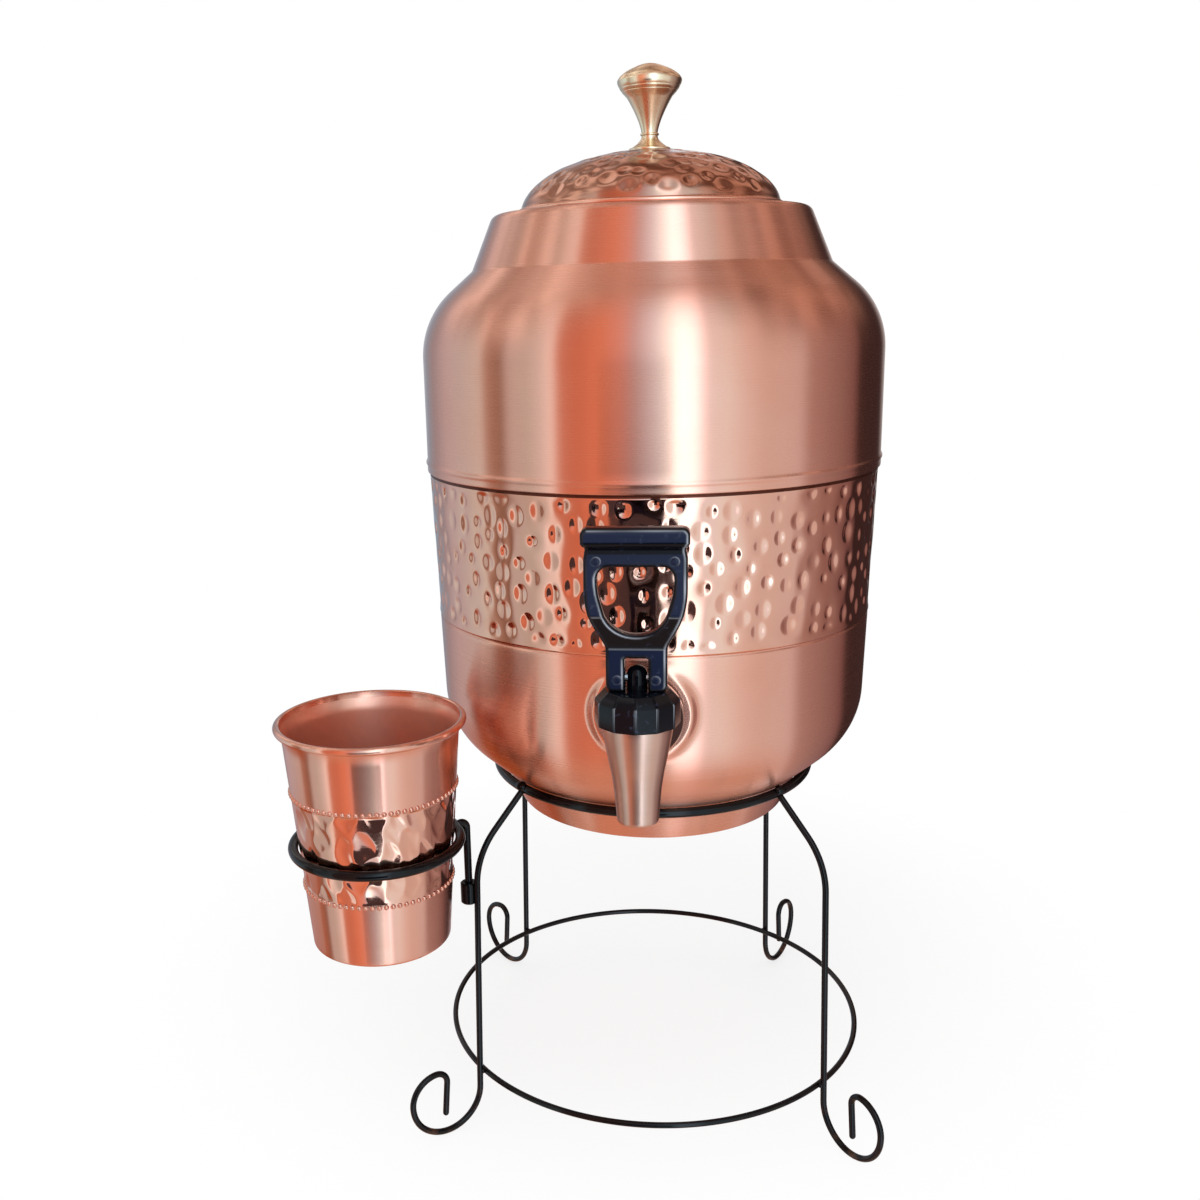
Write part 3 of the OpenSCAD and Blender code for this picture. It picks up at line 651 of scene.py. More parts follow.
def brush_lines(material, along, across):
    """Fine level lines of a sheet brushed while it turns: their height and their tone."""
    def build(tree, given):
        scale = add(tree, "ShaderNodeCombineXYZ", {"X": given["Along"], "Y": given["Along"],
                                                   "Z": given["Across"]})
        spot = stretched(tree, own_place(tree), scale.outputs[0])
        fine = noise(tree, spot, scale=1.0, detail=3.0, rough=0.7)
        broad = noise(tree, stretched(tree, spot, (0.6, 0.6, 0.09)), scale=1.0, detail=2.0)
        return {"Height": fine, "Tone": maths(tree, "MULTIPLY", maths(tree, "ADD", fine, broad), 0.5)}
    group = effect("brush_lines", {"Along": 20.0, "Across": 2200.0}, ("Height", "Tone"), build)
    return placed(material, group, Along=along, Across=across)


def patina(material, scale, low, high):
    """Soft blotches of handled metal, as a mask from 0 to 1."""
    def build(tree, given):
        cloud = noise(tree, own_place(tree), given["Scale"], detail=5.0, rough=0.55, distortion=0.4)
        return {"Mask": ranged(tree, cloud, start=given["Low"], end=given["High"], smooth=True)}
    group = effect("patina", {"Scale": 18.0, "Low": 0.35, "High": 0.7}, ("Mask",), build)
    return placed(material, group, Scale=scale, Low=low, High=high)["Mask"]


def fine_scratches(material, scale):
    """Hair scratches in two directions, as a mask from 0 to 1."""
    def build(tree, given):
        place = own_place(tree)
        masks = []
        for turn in ((0.3, 0.5, 0.7), (1.2, 0.2, 2.1)):
            spin = add(tree, "ShaderNodeMapping", {"Vector": place, "Rotation": turn,
                                                   "Scale": (60.0, 1500.0, 1500.0)})
            hair = noise(tree, spin.outputs[0], given["Scale"], detail=1.0)
            masks.append(ranged(tree, hair, start=0.62, end=0.78))
        return {"Mask": maths(tree, "MAXIMUM", *masks)}
    return placed(material, effect("fine_scratches", {"Scale": 1.0}, ("Mask",), build), Scale=scale)["Mask"]


# Finishes
def finish(name, build, **sockets):
    """Material with one Principled shader: plain values as sockets, and build links the rest."""
    material = bpy.data.materials.get(name)
    if material is None:
        material = bpy.data.materials.new(name)
        material.use_nodes = True
        tree = material.node_tree
        shader = tree.nodes["Principled BSDF"]
        for label, value in sockets.items():
            shader.inputs[label.replace("_", " ")].default_value = value
        for label, socket in build(tree).items():
            tree.links.new(socket, shader.inputs[label])
    return material


def satin_copper(name, rgb, rough=0.27):
    """Copper sheet brushed round and round."""
    def build(tree):
        lines = brush_lines(tree, along=14.0, across=2800.0)
        blot = patina(tree, scale=16.0, low=0.3, high=0.75)
        toned = blended(tree, lines["Tone"], shade(rgb, 0.91), shade(rgb, 1.07))
        return {"Base Color": blended(tree, blot, toned, shade(rgb, 0.97, 0.9, 0.86)),
                "Roughness": ranged(tree, lines["Tone"], low=rough - 0.05, high=rough + 0.05),
                "Normal": bumped(tree, lines["Height"], strength=0.018, distance=0.2 * MM),
                "Tangent": round_tangent(tree)}
    return finish(name, build, Metallic=1.0, Anisotropic=1.0, Anisotropic_Rotation=0.25)


def bright_copper(name, rgb, rough=0.1):
    """Polished copper with hair scratches and a breath of patina."""
    def build(tree):
        hair = fine_scratches(tree, scale=1.0)
        blot = patina(tree, scale=38.0, low=0.35, high=0.75)
        return {"Base Color": blended(tree, blot, rgb, shade(rgb, 0.95, 0.84, 0.78)),
                "Roughness": ranged(tree, blot, low=rough - 0.03, high=rough + 0.05),
                "Normal": bumped(tree, hair, strength=0.03, distance=0.1 * MM)}
    return finish(name, build, Metallic=1.0)


def matt_copper(name, rgb):
    """Unpolished copper, dull and blotched."""
    def build(tree):
        lines = brush_lines(tree, along=20.0, across=1500.0)
        blot = patina(tree, scale=45.0, low=0.3, high=0.7)
        return {"Base Color": blended(tree, blot, rgb, shade(rgb, 0.82)),
                "Roughness": ranged(tree, blot, low=0.3, high=0.44),
                "Normal": bumped(tree, lines["Height"], strength=0.06, distance=0.3 * MM)}
    return finish(name, build, Metallic=0.85)


def turned_metal(name, rgb, rough, across, marks=0.01, grain=0.12, stretch=0.55):
    """Metal turned on a lathe, with fine level tool marks that stretch its highlights."""
    def build(tree):
        lines = brush_lines(tree, along=30.0, across=across)
        blot = patina(tree, scale=60.0, low=0.3, high=0.75)
        toned = blended(tree, lines["Tone"], shade(rgb, 1 - grain), shade(rgb, 1 + grain))
        return {"Base Color": blended(tree, blot, toned, shade(rgb, 0.9)),
                "Roughness": ranged(tree, lines["Tone"], low=rough - 0.05, high=rough + 0.06),
                "Normal": bumped(tree, lines["Height"], strength=marks, distance=0.2 * MM),
                "Tangent": round_tangent(tree)}
    return finish(name, build, Metallic=1.0, Anisotropic=stretch, Anisotropic_Rotation=0.25)


def turned_brass():
    """Polished brass of the knob and its washer and nut."""
    return turned_metal("knob_turned_brass", tone("brass"), rough=0.26, across=900.0, marks=0.002,
                        grain=0.04, stretch=0.2)


def black_plastic():
    """Moulded black plastic with dust and hair scratches, a painted bluish reflection on its flat faces and
    painted highlights along its edges.
    """
    def build(tree):
        hair = fine_scratches(tree, scale=0.8)
        dust = patina(tree, scale=420.0, low=0.6, high=0.74)
        flow = patina(tree, scale=90.0, low=0.3, high=0.7)
        flat, edge = (add(tree, "ShaderNodeAttribute", attribute_name=label).outputs["Fac"]
                      for label in ("flat", "rubbed"))
        blue = tone("plastic_reflected_blue")
        dusty = tuple(c + more for c, more in zip(blue, (0.02, 0.022, 0.03)))
        tint = blended(tree, dust, blended(tree, flat, tone("plastic"), blue), dusty)
        # The flat faces take the painted bluish reflection, and the edges take the painted highlight
        return {"Base Color": blended(tree, edge, tint, tone("rubbed")),
                "Roughness": ranged(tree, flow, low=0.08, high=0.16),
                "Normal": bumped(tree, hair, strength=0.06, distance=0.1 * MM)}
    return finish("tap_black_plastic", build, IOR=1.5, Specular_IOR_Level=0.16)


def coated_wire():
    """Gloss black coating on wire, with a painted brown reflection in blotches next to the floor."""
    def build(tree):
        height = add(tree, "ShaderNodeSeparateXYZ", {"Vector": own_place(tree)}).outputs["Z"]
        near = ranged(tree, height, low=1.0, high=0.0, end=20 * MM)
        # Painted reflection: brown blotches that fade out within 20 mm of the floor
        worn = maths(tree, "MULTIPLY", near, patina(tree, scale=120.0, low=0.48, high=0.7))
        runs = patina(tree, scale=260.0, low=0.2, high=0.8)
        return {"Base Color": blended(tree, worn, tone("wire"), tone("bare_wire")),
                "Roughness": ranged(tree, runs, low=0.06, high=0.12),
                "Normal": bumped(tree, runs, strength=0.03, distance=0.2 * MM)}
    return finish("stand_black_wire", build, IOR=1.5, Specular_IOR_Level=0.22)


def soft_silicone():
    """Soft milky silicone."""
    def build(tree):
        rgb = tone("seal")
        blot = patina(tree, scale=150.0, low=0.3, high=0.7)
        return {"Base Color": blended(tree, blot, rgb, shade(rgb, 0.9)),
                "Roughness": ranged(tree, blot, low=0.45, high=0.6)}
    return finish("washer_silicone", build, Subsurface_Weight=0.1)


# Pieces
class DISPENSER_OT_pot(bpy.types.Operator):
    """Spin the two copper shells of the pot, with the hammered band and the pad for the tap"""
    bl_idname = "dispenser.pot"
    bl_label = "Pot"

    columns = 1080
    crease = 50
    band_step = 0.55 * MM
    side_step = 1.2 * MM
    plain_step = 3 * MM
    inside_step = 8 * MM
    lip_in = 0.4 * MM
    seam_gap = 1.4 * MM
    edge_round = 3 * MM
    band_fade = 2 * MM
    pad_inset = 2.2 * MM
    pad_soft = 0.3 * MM
    pad_slope = 1.5 * MM
    pad_reach = 14 * MM

    def execute(self, context):
        pot = settings().pot
        self.lower_shell(pot)
        self.upper_shell(pot)
        return {"FINISHED"}

    def lower_shell(self, pot):
        """Bowl with base, waist, flat pad, groove, hammered band and the lip inside the upper shell."""
        base_z = low_z("pot_lower_shell")
        seam_z = low_z("pot_upper_shell")
        lip_top = high_z("pot_lower_shell")
        lip_r = pot.seam_r - self.lip_in
        band_z = base_z + pot.band_up
        band_top = seam_z - self.seam_gap
        base, edge, waist, bowl, seam = vectors(
            (0, base_z), (pot.base_r, base_z), (pot.waist_r, base_z + pot.waist_up),
            (pot.bowl_r, base_z + pot.bowl_up), (pot.seam_r, seam_z))

        def side_r(z):
            """Radius of the straight side at a height."""
            return bowl.x + (z - bowl.y) * (seam.x - bowl.x) / (seam.y - bowl.y)

        turn = rounded(waist, bowl, seam, pot.bowl_round, steps=16)
        groove = [Vector((side_r(band_z + up * MM) - deep * MM, band_z + up * MM)) for up, deep in
                  ((-1.0, 0), (-0.6, 0.1), (-0.3, 0.45), (0, 0.55), (0.3, 0.4), (0.7, 0), (1.2, -0.18),
                   (1.7, -0.12), (2.3, 0))]
        side = filled([turn[-1], groove[0]], self.side_step)
        band = filled([groove[-1], Vector((side_r(band_top), band_top))], self.band_step)
        lip = offsets(lip_r, band_top, (-0.35, 0.75), (-0.35, 0.9))
        lip += vectors((lip_r, seam_z + 0.1 * MM), (lip_r, lip_top))
        outside = [base, base.lerp(edge, 0.5)] + rounded(base, edge, waist, self.edge_round)
        outside += filled(rounded(edge, waist, bowl, self.edge_round) + turn, self.plain_step)
        outside += side[1:] + groove[1:] + band[1:] + lip
        plain = [base, edge, waist] + rounded(waist, bowl, seam, pot.bowl_round, steps=12)
        plain.append(Vector((lip_r, lip_top)))
        inside = filled(list(reversed(inset(plain, pot.wall))), self.inside_step)
        inside[-1].x = 0
        hammered_low = band_z + 2.6 * MM
        hammered = band_top - 0.6 * MM - hammered_low
        width = 2 * math.pi * side_r(band_z)
        places = scattered(width, hammered, pot.dent_gap, seed=11)
        places[:, 1] += hammered_low

        def relief(turn_at, radius, height):
            outer = radius > side_r(height) - pot.wall / 2
            across = turn_at * width / (2 * math.pi)
            deep = dents(across, height, places, width, pot.dent_r, pot.dent_deep, seed=12)
            margin = np.clip((height - hammered_low) / self.band_fade, 0, 1)
            margin *= np.clip((band_top - 0.3 * MM - height) / self.band_fade, 0, 1)
            swell = waves(turn_at, height, seed=13, strength=0.22 * MM, pitch=9 * MM)
            out = (swell - deep) * margin + self.pad(pot, turn_at, radius, height)
            return np.where(outer & (height < band_top), out, 0)

        def slot_at(radius, height):
            # Slot 2 paints the shade in the seam under the upper shell's lip
            if band_top < height < seam_z and radius > side_r(height) - 0.9 * pot.wall:
                return 2
            in_band = band_z + 0.5 * MM < height < seam_z
            return int(in_band and radius > side_r(height) - pot.wall / 2)

        shell = turned(outside + inside, POT_AXIS, self.columns, relief=relief, slot_at=slot_at)
        new_piece("pot_lower_shell_copper", "pot_lower_shell", "pot", shell,
                  [satin_copper("pot_satin_copper", tone("copper")),
                   bright_copper("pot_hammered_copper", tone("copper_bright")),
                   matt_copper("seam_tarnished_copper", tone("tarnish"))], self.crease)

    def pad(self, pot, turn_at, radius, height):
        """How far the wall moves to become the flat pad around the tap, with a soft rim."""
        front = np.cos(turn_at + math.pi / 2)
        aside = radius * np.sin(turn_at + math.pi / 2)
        away = np.hypot(aside, height - settings().tap.shank_z)
        flat = pot.pad_y / np.maximum(front, 0.5) - radius
        over = np.clip((away - pot.pad_r + self.pad_inset) / self.pad_soft, -50, 50)
        beyond = self.pad_soft * np.log1p(np.exp(over))
        step = np.exp(-0.5 * (beyond / self.pad_slope) ** 2)
        return np.where((front > 0.5) & (away < pot.pad_r + self.pad_reach), flat * step, 0)

    def upper_shell(self, pot):
        """Shoulder and neck, with the raised seam at the foot and the ledge for the lid."""
        seam_z = low_z("pot_upper_shell")
        neck_z = high_z("pot_upper_shell")
        lip_r = pot.seam_r - self.lip_in
        foot, shoulder, crease, neck, mouth = vectors(
            (pot.upper_r, seam_z), (pot.upper_r, seam_z + pot.shoulder_up),
            (pot.crease_r, seam_z + pot.crease_up), (pot.neck_r, neck_z), (pot.mouth_r, neck_z))
        seam = offsets(pot.upper_r, seam_z, (-0.15, 0), (0.05, 0.15), (0.1, 0.5), (0.12, 1.2), (0.1, 2.3),
                       (0.25, 2.9), (0.55, 3.4), (0.62, 3.9), (0.45, 4.4), (0.15, 4.8), (0, 5.4))
        side = seam[-1:] + rounded(foot, shoulder, crease, pot.shoulder_round, steps=24)
        top = rounded(shoulder, crease, neck, 2 * MM, steps=5)
        top += rounded(crease, neck, mouth, 4 * MM, steps=10)
        outside = [Vector((lip_r, seam_z))] + seam + filled(side, self.plain_step)[1:]
        outside += filled(top, self.plain_step) + [mouth]
        plain = [foot] + rounded(foot, shoulder, crease, pot.shoulder_round, steps=12)
        plain += [crease, neck, mouth]
        inside = list(reversed(inset(plain, pot.wall)))
        inside[0] = Vector((pot.mouth_r, neck_z - pot.wall))
        inside[-1] = Vector((lip_r, seam_z + 7 * MM))

        def relief(turn_at, radius, height):
            swell = waves(turn_at, height, seed=21, strength=0.05 * MM, pitch=30 * MM)
            return swell * (height > seam_z + 6 * MM)

        shell = turned(outside + filled(inside, 6 * MM), POT_AXIS, self.columns // 3, closed=True,
                       relief=relief)
        new_piece("pot_upper_shell_copper", "pot_upper_shell", "pot", shell,
                  [satin_copper("pot_satin_copper", tone("copper"))], self.crease)


class DISPENSER_OT_lid(bpy.types.Operator):
    """Beat the copper dome of the lid"""
    bl_idname = "dispenser.lid"
    bl_label = "Lid"

    columns = 420
    rows = 64
    inside_rows = 24
    bore_play = 0.1 * MM
    plain_edge = 3 * MM

    def execute(self, context):
        lid = settings().lid
        edge_z = low_z("lid_dome")
        top = math.acos(lid.seat_r / lid.dome_r)

        def dome(radius, height, rows):
            """Profile of a dome from its edge up to the knob's seat."""
            turns = [top * i / rows for i in range(rows + 1)]
            return [Vector((radius * math.cos(a), edge_z + height * math.sin(a))) for a in turns]

        def climb(radius, height):
            """Way up the dome from its edge."""
            return (lid.dome_r - radius) * 0.9 + (height - edge_z) * 0.5

        outside = dome(lid.dome_r, lid.dome_h, self.rows)
        inside = dome(lid.dome_r - lid.sheet, lid.dome_h - lid.sheet, self.inside_rows)
        bore = lid.stud_r + self.bore_play
        roll = Vector((lid.dome_r - 0.1 * MM, edge_z + lid.hem))
        profile = [Vector((lid.dome_r - lid.sheet, edge_z))]
        profile += arc(roll, lid.hem, -math.pi / 2, math.pi / 2, steps=10)
        profile += [p for p in outside if p.y > edge_z + 2.1 * lid.hem]
        profile += vectors((bore, outside[-1].y), (bore, inside[-1].y)) + list(reversed(inside[1:]))
        slant = lid.dome_h + 0.55 * lid.dome_r
        places = scattered(2 * math.pi * lid.dome_r, slant, lid.dent_gap, seed=35)
        levels = [climb(p.x, p.y) for p in outside]
        radii = [p.x for p in outside]

        def relief(turn_at, radius, height):
            outer = (radius / lid.dome_r) ** 2 + ((height - edge_z) / lid.dome_h) ** 2 > 0.985
            up = climb(radius, height)
            deep = np.zeros_like(radius)
            dice = random.Random(32)
            for across, level in places:
                r_there = np.interp(level, levels, radii)
                if dice.random() > r_there / lid.dome_r or level < self.plain_edge:
                    continue
                size = lid.dent_r * dice.uniform(0.75, 1.2)
                gap = (turn_at - across / lid.dome_r + math.pi) % (2 * math.pi) - math.pi
                t = ((gap * radius) ** 2 + ((up - level) * 1.05) ** 2) / size ** 2
                deep = np.maximum(deep, lid.dent_deep * np.clip(1 - t, 0, 1) ** 2)
            fade = np.clip((height - edge_z - 3 * lid.hem) / (2 * MM), 0, 1)
            fade *= np.clip((radius - lid.seat_r) / (3 * MM), 0, 1)
            swell = waves(turn_at, height, seed=33, strength=0.25 * MM, pitch=6 * MM)
            return np.where(outer, (swell - deep) * fade, 0)

        def slot_at(radius, height):
            return int(radius > roll.x and height < edge_z + 2 * lid.hem)

        shell = turned(profile, POT_AXIS, self.columns, closed=True, relief=relief, slot_at=slot_at)
        # Painted highlight: the hem takes a brighter copy of the hammered band's copper
        new_piece("lid_dome_copper", "lid_dome", "lid", shell,
                  [bright_copper("lid_hammered_copper", tone("copper_lid"), rough=0.17),
                   bright_copper("lid_hem_copper", shade(tone("copper_bright"), 1.15), rough=0.25)],
                  crease=50)
        return {"FINISHED"}


class DISPENSER_OT_knob(bpy.types.Operator):
    """Turn the brass knob of the lid"""
    bl_idname = "dispenser.knob"
    bl_label = "Knob"

    def execute(self, context):
        lid = settings().lid
        top_z = high_z("knob")
        seat_z = high_z("lid_dome")
        bottom_z = low_z("knob")
        widest = seat_z + lid.knob_widest
        waist = seat_z + lid.knob_waist_up
        foot = offsets(lid.knob_base_r, seat_z, (-0.3, 0), (0, 0.3), (0, 0.8), (-0.4, 1.2))
        cone_low, cone_high = seat_z + 1.4 * MM, waist - 0.9 * MM
        cone_out = lid.knob_base_r - 1.2 * MM - lid.knob_waist_r
        cone_rise = cone_high - cone_low
        cone = [Vector((lid.knob_waist_r + cone_out * (1 - t) ** 1.7, cone_low + cone_rise * t))
                for t in np.linspace(0, 1, 10)]
        ring = arc(Vector((lid.knob_waist_r, waist)), 0.5 * MM, -math.pi / 2, math.pi / 2, steps=6)
        flare_low, flare_out = waist + 0.6 * MM, lid.knob_r - lid.knob_waist_r
        flare = [Vector((lid.knob_waist_r + flare_out * t ** 1.4, flare_low + (widest - flare_low) * t))
                 for t in np.linspace(0.02, 0.7, 18)]
        rim = offsets(lid.knob_r, widest, (-2.75, -4.75), (-2.1, -4.1), (-1.95, -3.9), (-2.0, -3.7),
                      (-1.5, -3.3), (-1.05, -2.7), (-0.95, -2.5), (-0.98, -2.3), (-0.55, -1.7),
                      (-0.25, -1.1), (-0.06, -0.5))
        crown = [Vector((lid.knob_r * out, widest + (top_z - widest) * up)) for out, up in
                 ((1.0, 0), (0.995, 0.08), (0.968, 0.17), (0.93, 0.27), (0.89, 0.34), (0.82, 0.44),
                  (0.742, 0.54), (0.63, 0.65), (0.515, 0.75), (0.39, 0.85), (0.258, 0.93), (0.13, 0.98),
                  (0, 1.0))]
        stud = vectors((0, bottom_z)) + offsets(lid.stud_r, bottom_z, (-0.3, 0), (0, 0.3))
        stud += vectors((lid.stud_r, seat_z))
        shell = turned(stud + foot + cone + ring + flare + rim + crown, POT_AXIS, columns=120)
        new_piece("knob_brass", "knob", "lid", shell, [turned_brass()])
        return {"FINISHED"}


class DISPENSER_OT_tap(bpy.types.Operator):
    """Make the nozzle with its shank, the faceted bonnet and the valve stem"""
    bl_idname = "dispenser.tap"
    bl_label = "Tap"

    curve_step = 1.2 * MM
    bore_deep = 12 * MM
    bore_end_r = 0.001 * MM
    cap_deep = 4 * MM

    def execute(self, context):
        tap = settings().tap
        self.nozzle(tap)
        self.bonnet(tap)
        self.stem(tap)
        return {"FINISHED"}

    def nozzle(self, tap):
        """Nozzle that narrows in a soft curve, and the bar, flange and shank behind it."""
        tip_z = low_z("tap_body")
        top_z = low_z("bonnet")
        rise = top_z - tip_z
        curve = [Vector((r * MM, tip_z + share * rise)) for share, r in
                 ((0.035, 7.5), (0.12, 7.75), (0.25, 8.15), (0.36, 8.55), (0.5, 9.35), (0.64, 10.4),
                  (0.78, 11.4), (0.9, 12.2), (0.97, 12.6), (1.0, 12.6))]
        lip = offsets(tap.tip_r, tip_z, (-0.9, 0), (-0.25, 0), (0, 0.35))
        bore_top = tip_z + self.bore_deep
        bore = vectors((self.bore_end_r, bore_top), (tap.bore_r, bore_top), (tap.bore_r, tip_z))
        outer = filled(curve, self.curve_step) + vectors((0, top_z))
        nozzle = turned(bore + lip + outer, TAP_AXIS, columns=128)
        shank_end = BOXES["tap_body"][1].y
        flange_y = BOXES["outer_washer"][0].y - tap.flange_h
        rows = vectors((0, TAP_AXIS.y), (tap.bar_r, TAP_AXIS.y), (tap.bar_r, flange_y),
                       (tap.flange_r - 0.5 * MM, flange_y), (tap.flange_r, flange_y + 0.5 * MM),
                       (tap.flange_r, flange_y + tap.flange_h), (tap.shank_r, flange_y + tap.flange_h),
                       (tap.shank_r, shank_end), (0, shank_end))
        points, faces, slots = turned(rows, (0, 0), columns=96, slot_at=lambda r, y: 1)
        points = [Vector((TAP_AXIS.x + p[0], p[2], tap.shank_z - p[1])) for p in points]
        new_piece("tap_body_metal", "tap_body", "pot", joined(nozzle, (points, faces, slots)),
                  [turned_metal("nozzle_brushed_bronze", tone("nozzle"), rough=0.34, across=700.0),
                   bright_copper("flange_bright_metal", tone("nozzle"), rough=0.12)])

    def bonnet(self, tap):
        """Screw cap with flat facets that slope in at the top."""
        low, high = BOXES["bonnet"]
        radius = half_width("bonnet")
        slope = tap.bonnet_edge
        bore = tap.stem_r + 0.05 * MM
        inner = tap.cone_r - 0.7 * MM
        profile = vectors((inner, low.z + 0.2 * MM))
        profile += offsets(radius, low.z, (-0.8, 0), (-0.2, 0.25), (0, 0.8))
        profile += offsets(radius, high.z - slope, (0, -0.5), (-0.15, 0), (-0.5, 0.4))
        profile += offsets(radius - slope, high.z, (0.4, -0.3), (0, -0.05), (-0.6, 0))
        profile += offsets(bore, high.z, (0.4, 0), (0, -0.4))
        profile += vectors((bore, high.z - self.cap_deep), (inner, high.z - self.cap_deep))
        part = 2 * math.pi / tap.facets
        # Painted highlights on the facet corners: random strength on each side, stronger towards the top
        dice = random.Random(41)
        lit = [dice.uniform(0.1, 0.9) for _ in range(2 * tap.facets)]
        corner_low, corner_high = low.z + 0.6 * MM, high.z - slope + 0.2 * MM
        round_points, faces, slots = turned(profile, TAP_AXIS, columns=24 * tap.facets, closed=True)
        points = []
        pale = []
        for p in round_points:
            aside = Vector((p[0] - TAP_AXIS.x, p[1] - TAP_AXIS.y))
            turn_at = math.atan2(aside.y, aside.x)
            off = (turn_at % part) - part / 2
            faceted = min(math.cos(part / 2) / math.cos(off), 0.992)
            factor = faceted if aside.length > bore + 1 * MM else 1.0
            points.append(Vector((TAP_AXIS.x + aside.x * factor, TAP_AXIS.y + aside.y * factor, p[2])))
            corner = abs(off) > part * 0.45 and corner_low < p[2] < corner_high
            side_lit = lit[int(turn_at // (part / 2)) % len(lit)]
            pale.append(corner * side_lit * (p[2] - low.z) / depth("bonnet"))
        new_piece("bonnet_plastic", "bonnet", "pot", (points, faces, slots),
                  [black_plastic()], crease=24, painted_light={"rubbed": pale})

    def stem(self, tap):
        """Black pin with a round head in the lever's fork."""
        low, high = BOXES["stem"]
        neck_r = tap.stem_r * 0.7
        head = arc(Vector((0, high.z - tap.stem_r)), tap.stem_r, 0, math.pi / 2, steps=11)
        head[-1].x = 0
        profile = vectors((0, low.z), (neck_r, low.z), (neck_r, low.z + 4.9 * MM),
                          (tap.stem_r, low.z + 5 * MM)) + head
        new_piece("stem_plastic", "stem", "valve", turned(profile, TAP_AXIS, columns=64),
                  [black_plastic()])


class DISPENSER_OT_lever(bpy.types.Operator):
    """Mould the black paddle lever with its finger hole, fork and top bar"""
    bl_idname = "dispenser.lever"
    bl_label = "Lever"

    step = 0.45 * MM
    edge_steps = (0.12 * MM, 0.3 * MM, 0.55 * MM, 0.9 * MM)
    fork_raised = 0.35 * MM
    mark_r = 1.3 * MM
    marks = ((13.0 * MM, 46.4 * MM), (6.6 * MM, 4.3 * MM))

    def execute(self, context):
        tap = settings().tap
        foot = low_z("lever")
        top = high_z("lever") - foot
        fork, fork_top, paddle, paddle_low, paddle_top = vectors(
            (tap.fork_half, 0), (tap.fork_half, tap.fork_up), (tap.paddle_half, tap.fork_up + 13 * MM),
            (tap.paddle_half, tap.bar_up - 4 * MM), (tap.paddle_half, tap.bar_up))
        right = offsets(tap.slot_half, 0, (0, 0.6), (0.6, 0)) + offsets(tap.fork_half, 0, (-3, 0))
        right += rounded(Vector((0, 0)), fork, fork_top, 2.6 * MM, steps=6)[1:]
        right += rounded(fork, fork_top, paddle, 6 * MM, steps=6)
        right += rounded(fork_top, paddle, paddle_top, 32 * MM, steps=12) + [paddle_low]
        right += offsets(tap.paddle_half, tap.bar_up, (-0.6, -1), (-0.2, 0))
        right += offsets(tap.bar_half, tap.bar_up, (0, 1.5))
        bar_top = vectors((tap.bar_half, tap.bar_up), (tap.bar_half, top), (0, top))
        right += rounded(*bar_top, 2.5 * MM, steps=8)
        slot = offsets(tap.slot_half, tap.slot_up, (0, -0.5), (-0.5, 0))
        slot_left = [Vector((-p.x, p.y)) for p in slot]
        outline = right + mirrored(right) + slot_left + list(reversed(slot))
        low, high, half = tap.finger_low, tap.finger_high, tap.finger_half
        start, bottom, side, corner, end = vectors(
            (-half, low), (half - 4.5 * MM, low), (half, high - 8 * MM), (half, high), (0, high))
        hole = rounded(start, bottom, side, 10.5 * MM, steps=14)
        hole += rounded(bottom, side, corner, 24 * MM, steps=8)
        hole += rounded(Vector((half, low)), corner, end, 4 * MM, steps=8)
        loops = [filled(path + path[:1], self.step)[:-1] for path in (outline, hole + mirrored(hole))]
        points, faces, painted_light = self.plate(tap, loops, top)
        middle_line = Vector((*TAP_AXIS, foot))
        shell = ([middle_line + Vector(p) for p in points], faces, [0] * len(faces))
        new_piece("lever_plastic", "lever", "lever", shell, [black_plastic()], crease=38,
                  painted_light=painted_light)
        return {"FINISHED"}

    def level(self, h, *line):
        """Place of a face along Y by height, from pairs of a height in metres and a place in millimetres."""
        return np.interp(h, [up for up, _ in line], [forward * MM for _, forward in line])

    def front(self, tap, x, h, top):
        """Forward face of the lever at arrays of place across and height, before its edges are rounded."""
        face = self.level(h, (0, -5), (tap.fork_up, -5.5), (tap.paddle_up - 0.7 * MM, -10.3),
                          (tap.paddle_up - 0.3 * MM, -10.9), (tap.paddle_up, -11),
                          (tap.bar_up - 0.6 * MM, -9.5), (tap.bar_up - 0.2 * MM, -9.7),
                          (tap.bar_up + 0.5 * MM, -12.2), (tap.bar_up + 1.6 * MM, -13),
                          (top - 1.6 * MM, -13), (top, -11.6))
        face = face - self.fork_raised * (h < tap.fork_up - 0.5 * MM)
        for across, up in self.marks:
            away = np.hypot(np.abs(x) - across, h - up)
            face = face + 0.28 * MM * np.exp(-((away - self.mark_r) / (0.3 * MM)) ** 2)
        return face

    def back(self, tap, h, top):
        """Rear face of the lever by height."""
        return self.level(h, (0, 5), (tap.fork_up - 5 * MM, 5), (tap.fork_up + 1 * MM, -0.5),
                          (tap.paddle_up + 1 * MM, -5.5), (tap.bar_up, -4.5), (top - 1.5 * MM, -4.5),
                          (top, -6))

    def plate(self, tap, loops, top):
        """Front, back and rim of the lever as one closed skin over its outline."""
        rim = [np.array([tuple(p) for p in loop]) for loop in loops]
        ends = [np.roll(loop, -1, axis=0) for loop in rim]
        starts = np.vstack(rim)
        spans = np.vstack(ends) - starts

        def to_rim(places):
            """Way from each place to the nearest point of the rim."""
            best = np.full(len(places), 1.0)
            way = np.zeros_like(places)
            for start, span in zip(starts, spans):
                t = np.clip(((places - start) @ span) / max(span @ span, 1e-16), 0, 1)
                step = start + t[:, None] * span - places
                gap = np.hypot(*step.T)
                way = np.where((gap < best)[:, None], step, way)
                best = np.minimum(best, gap)
            return best, way

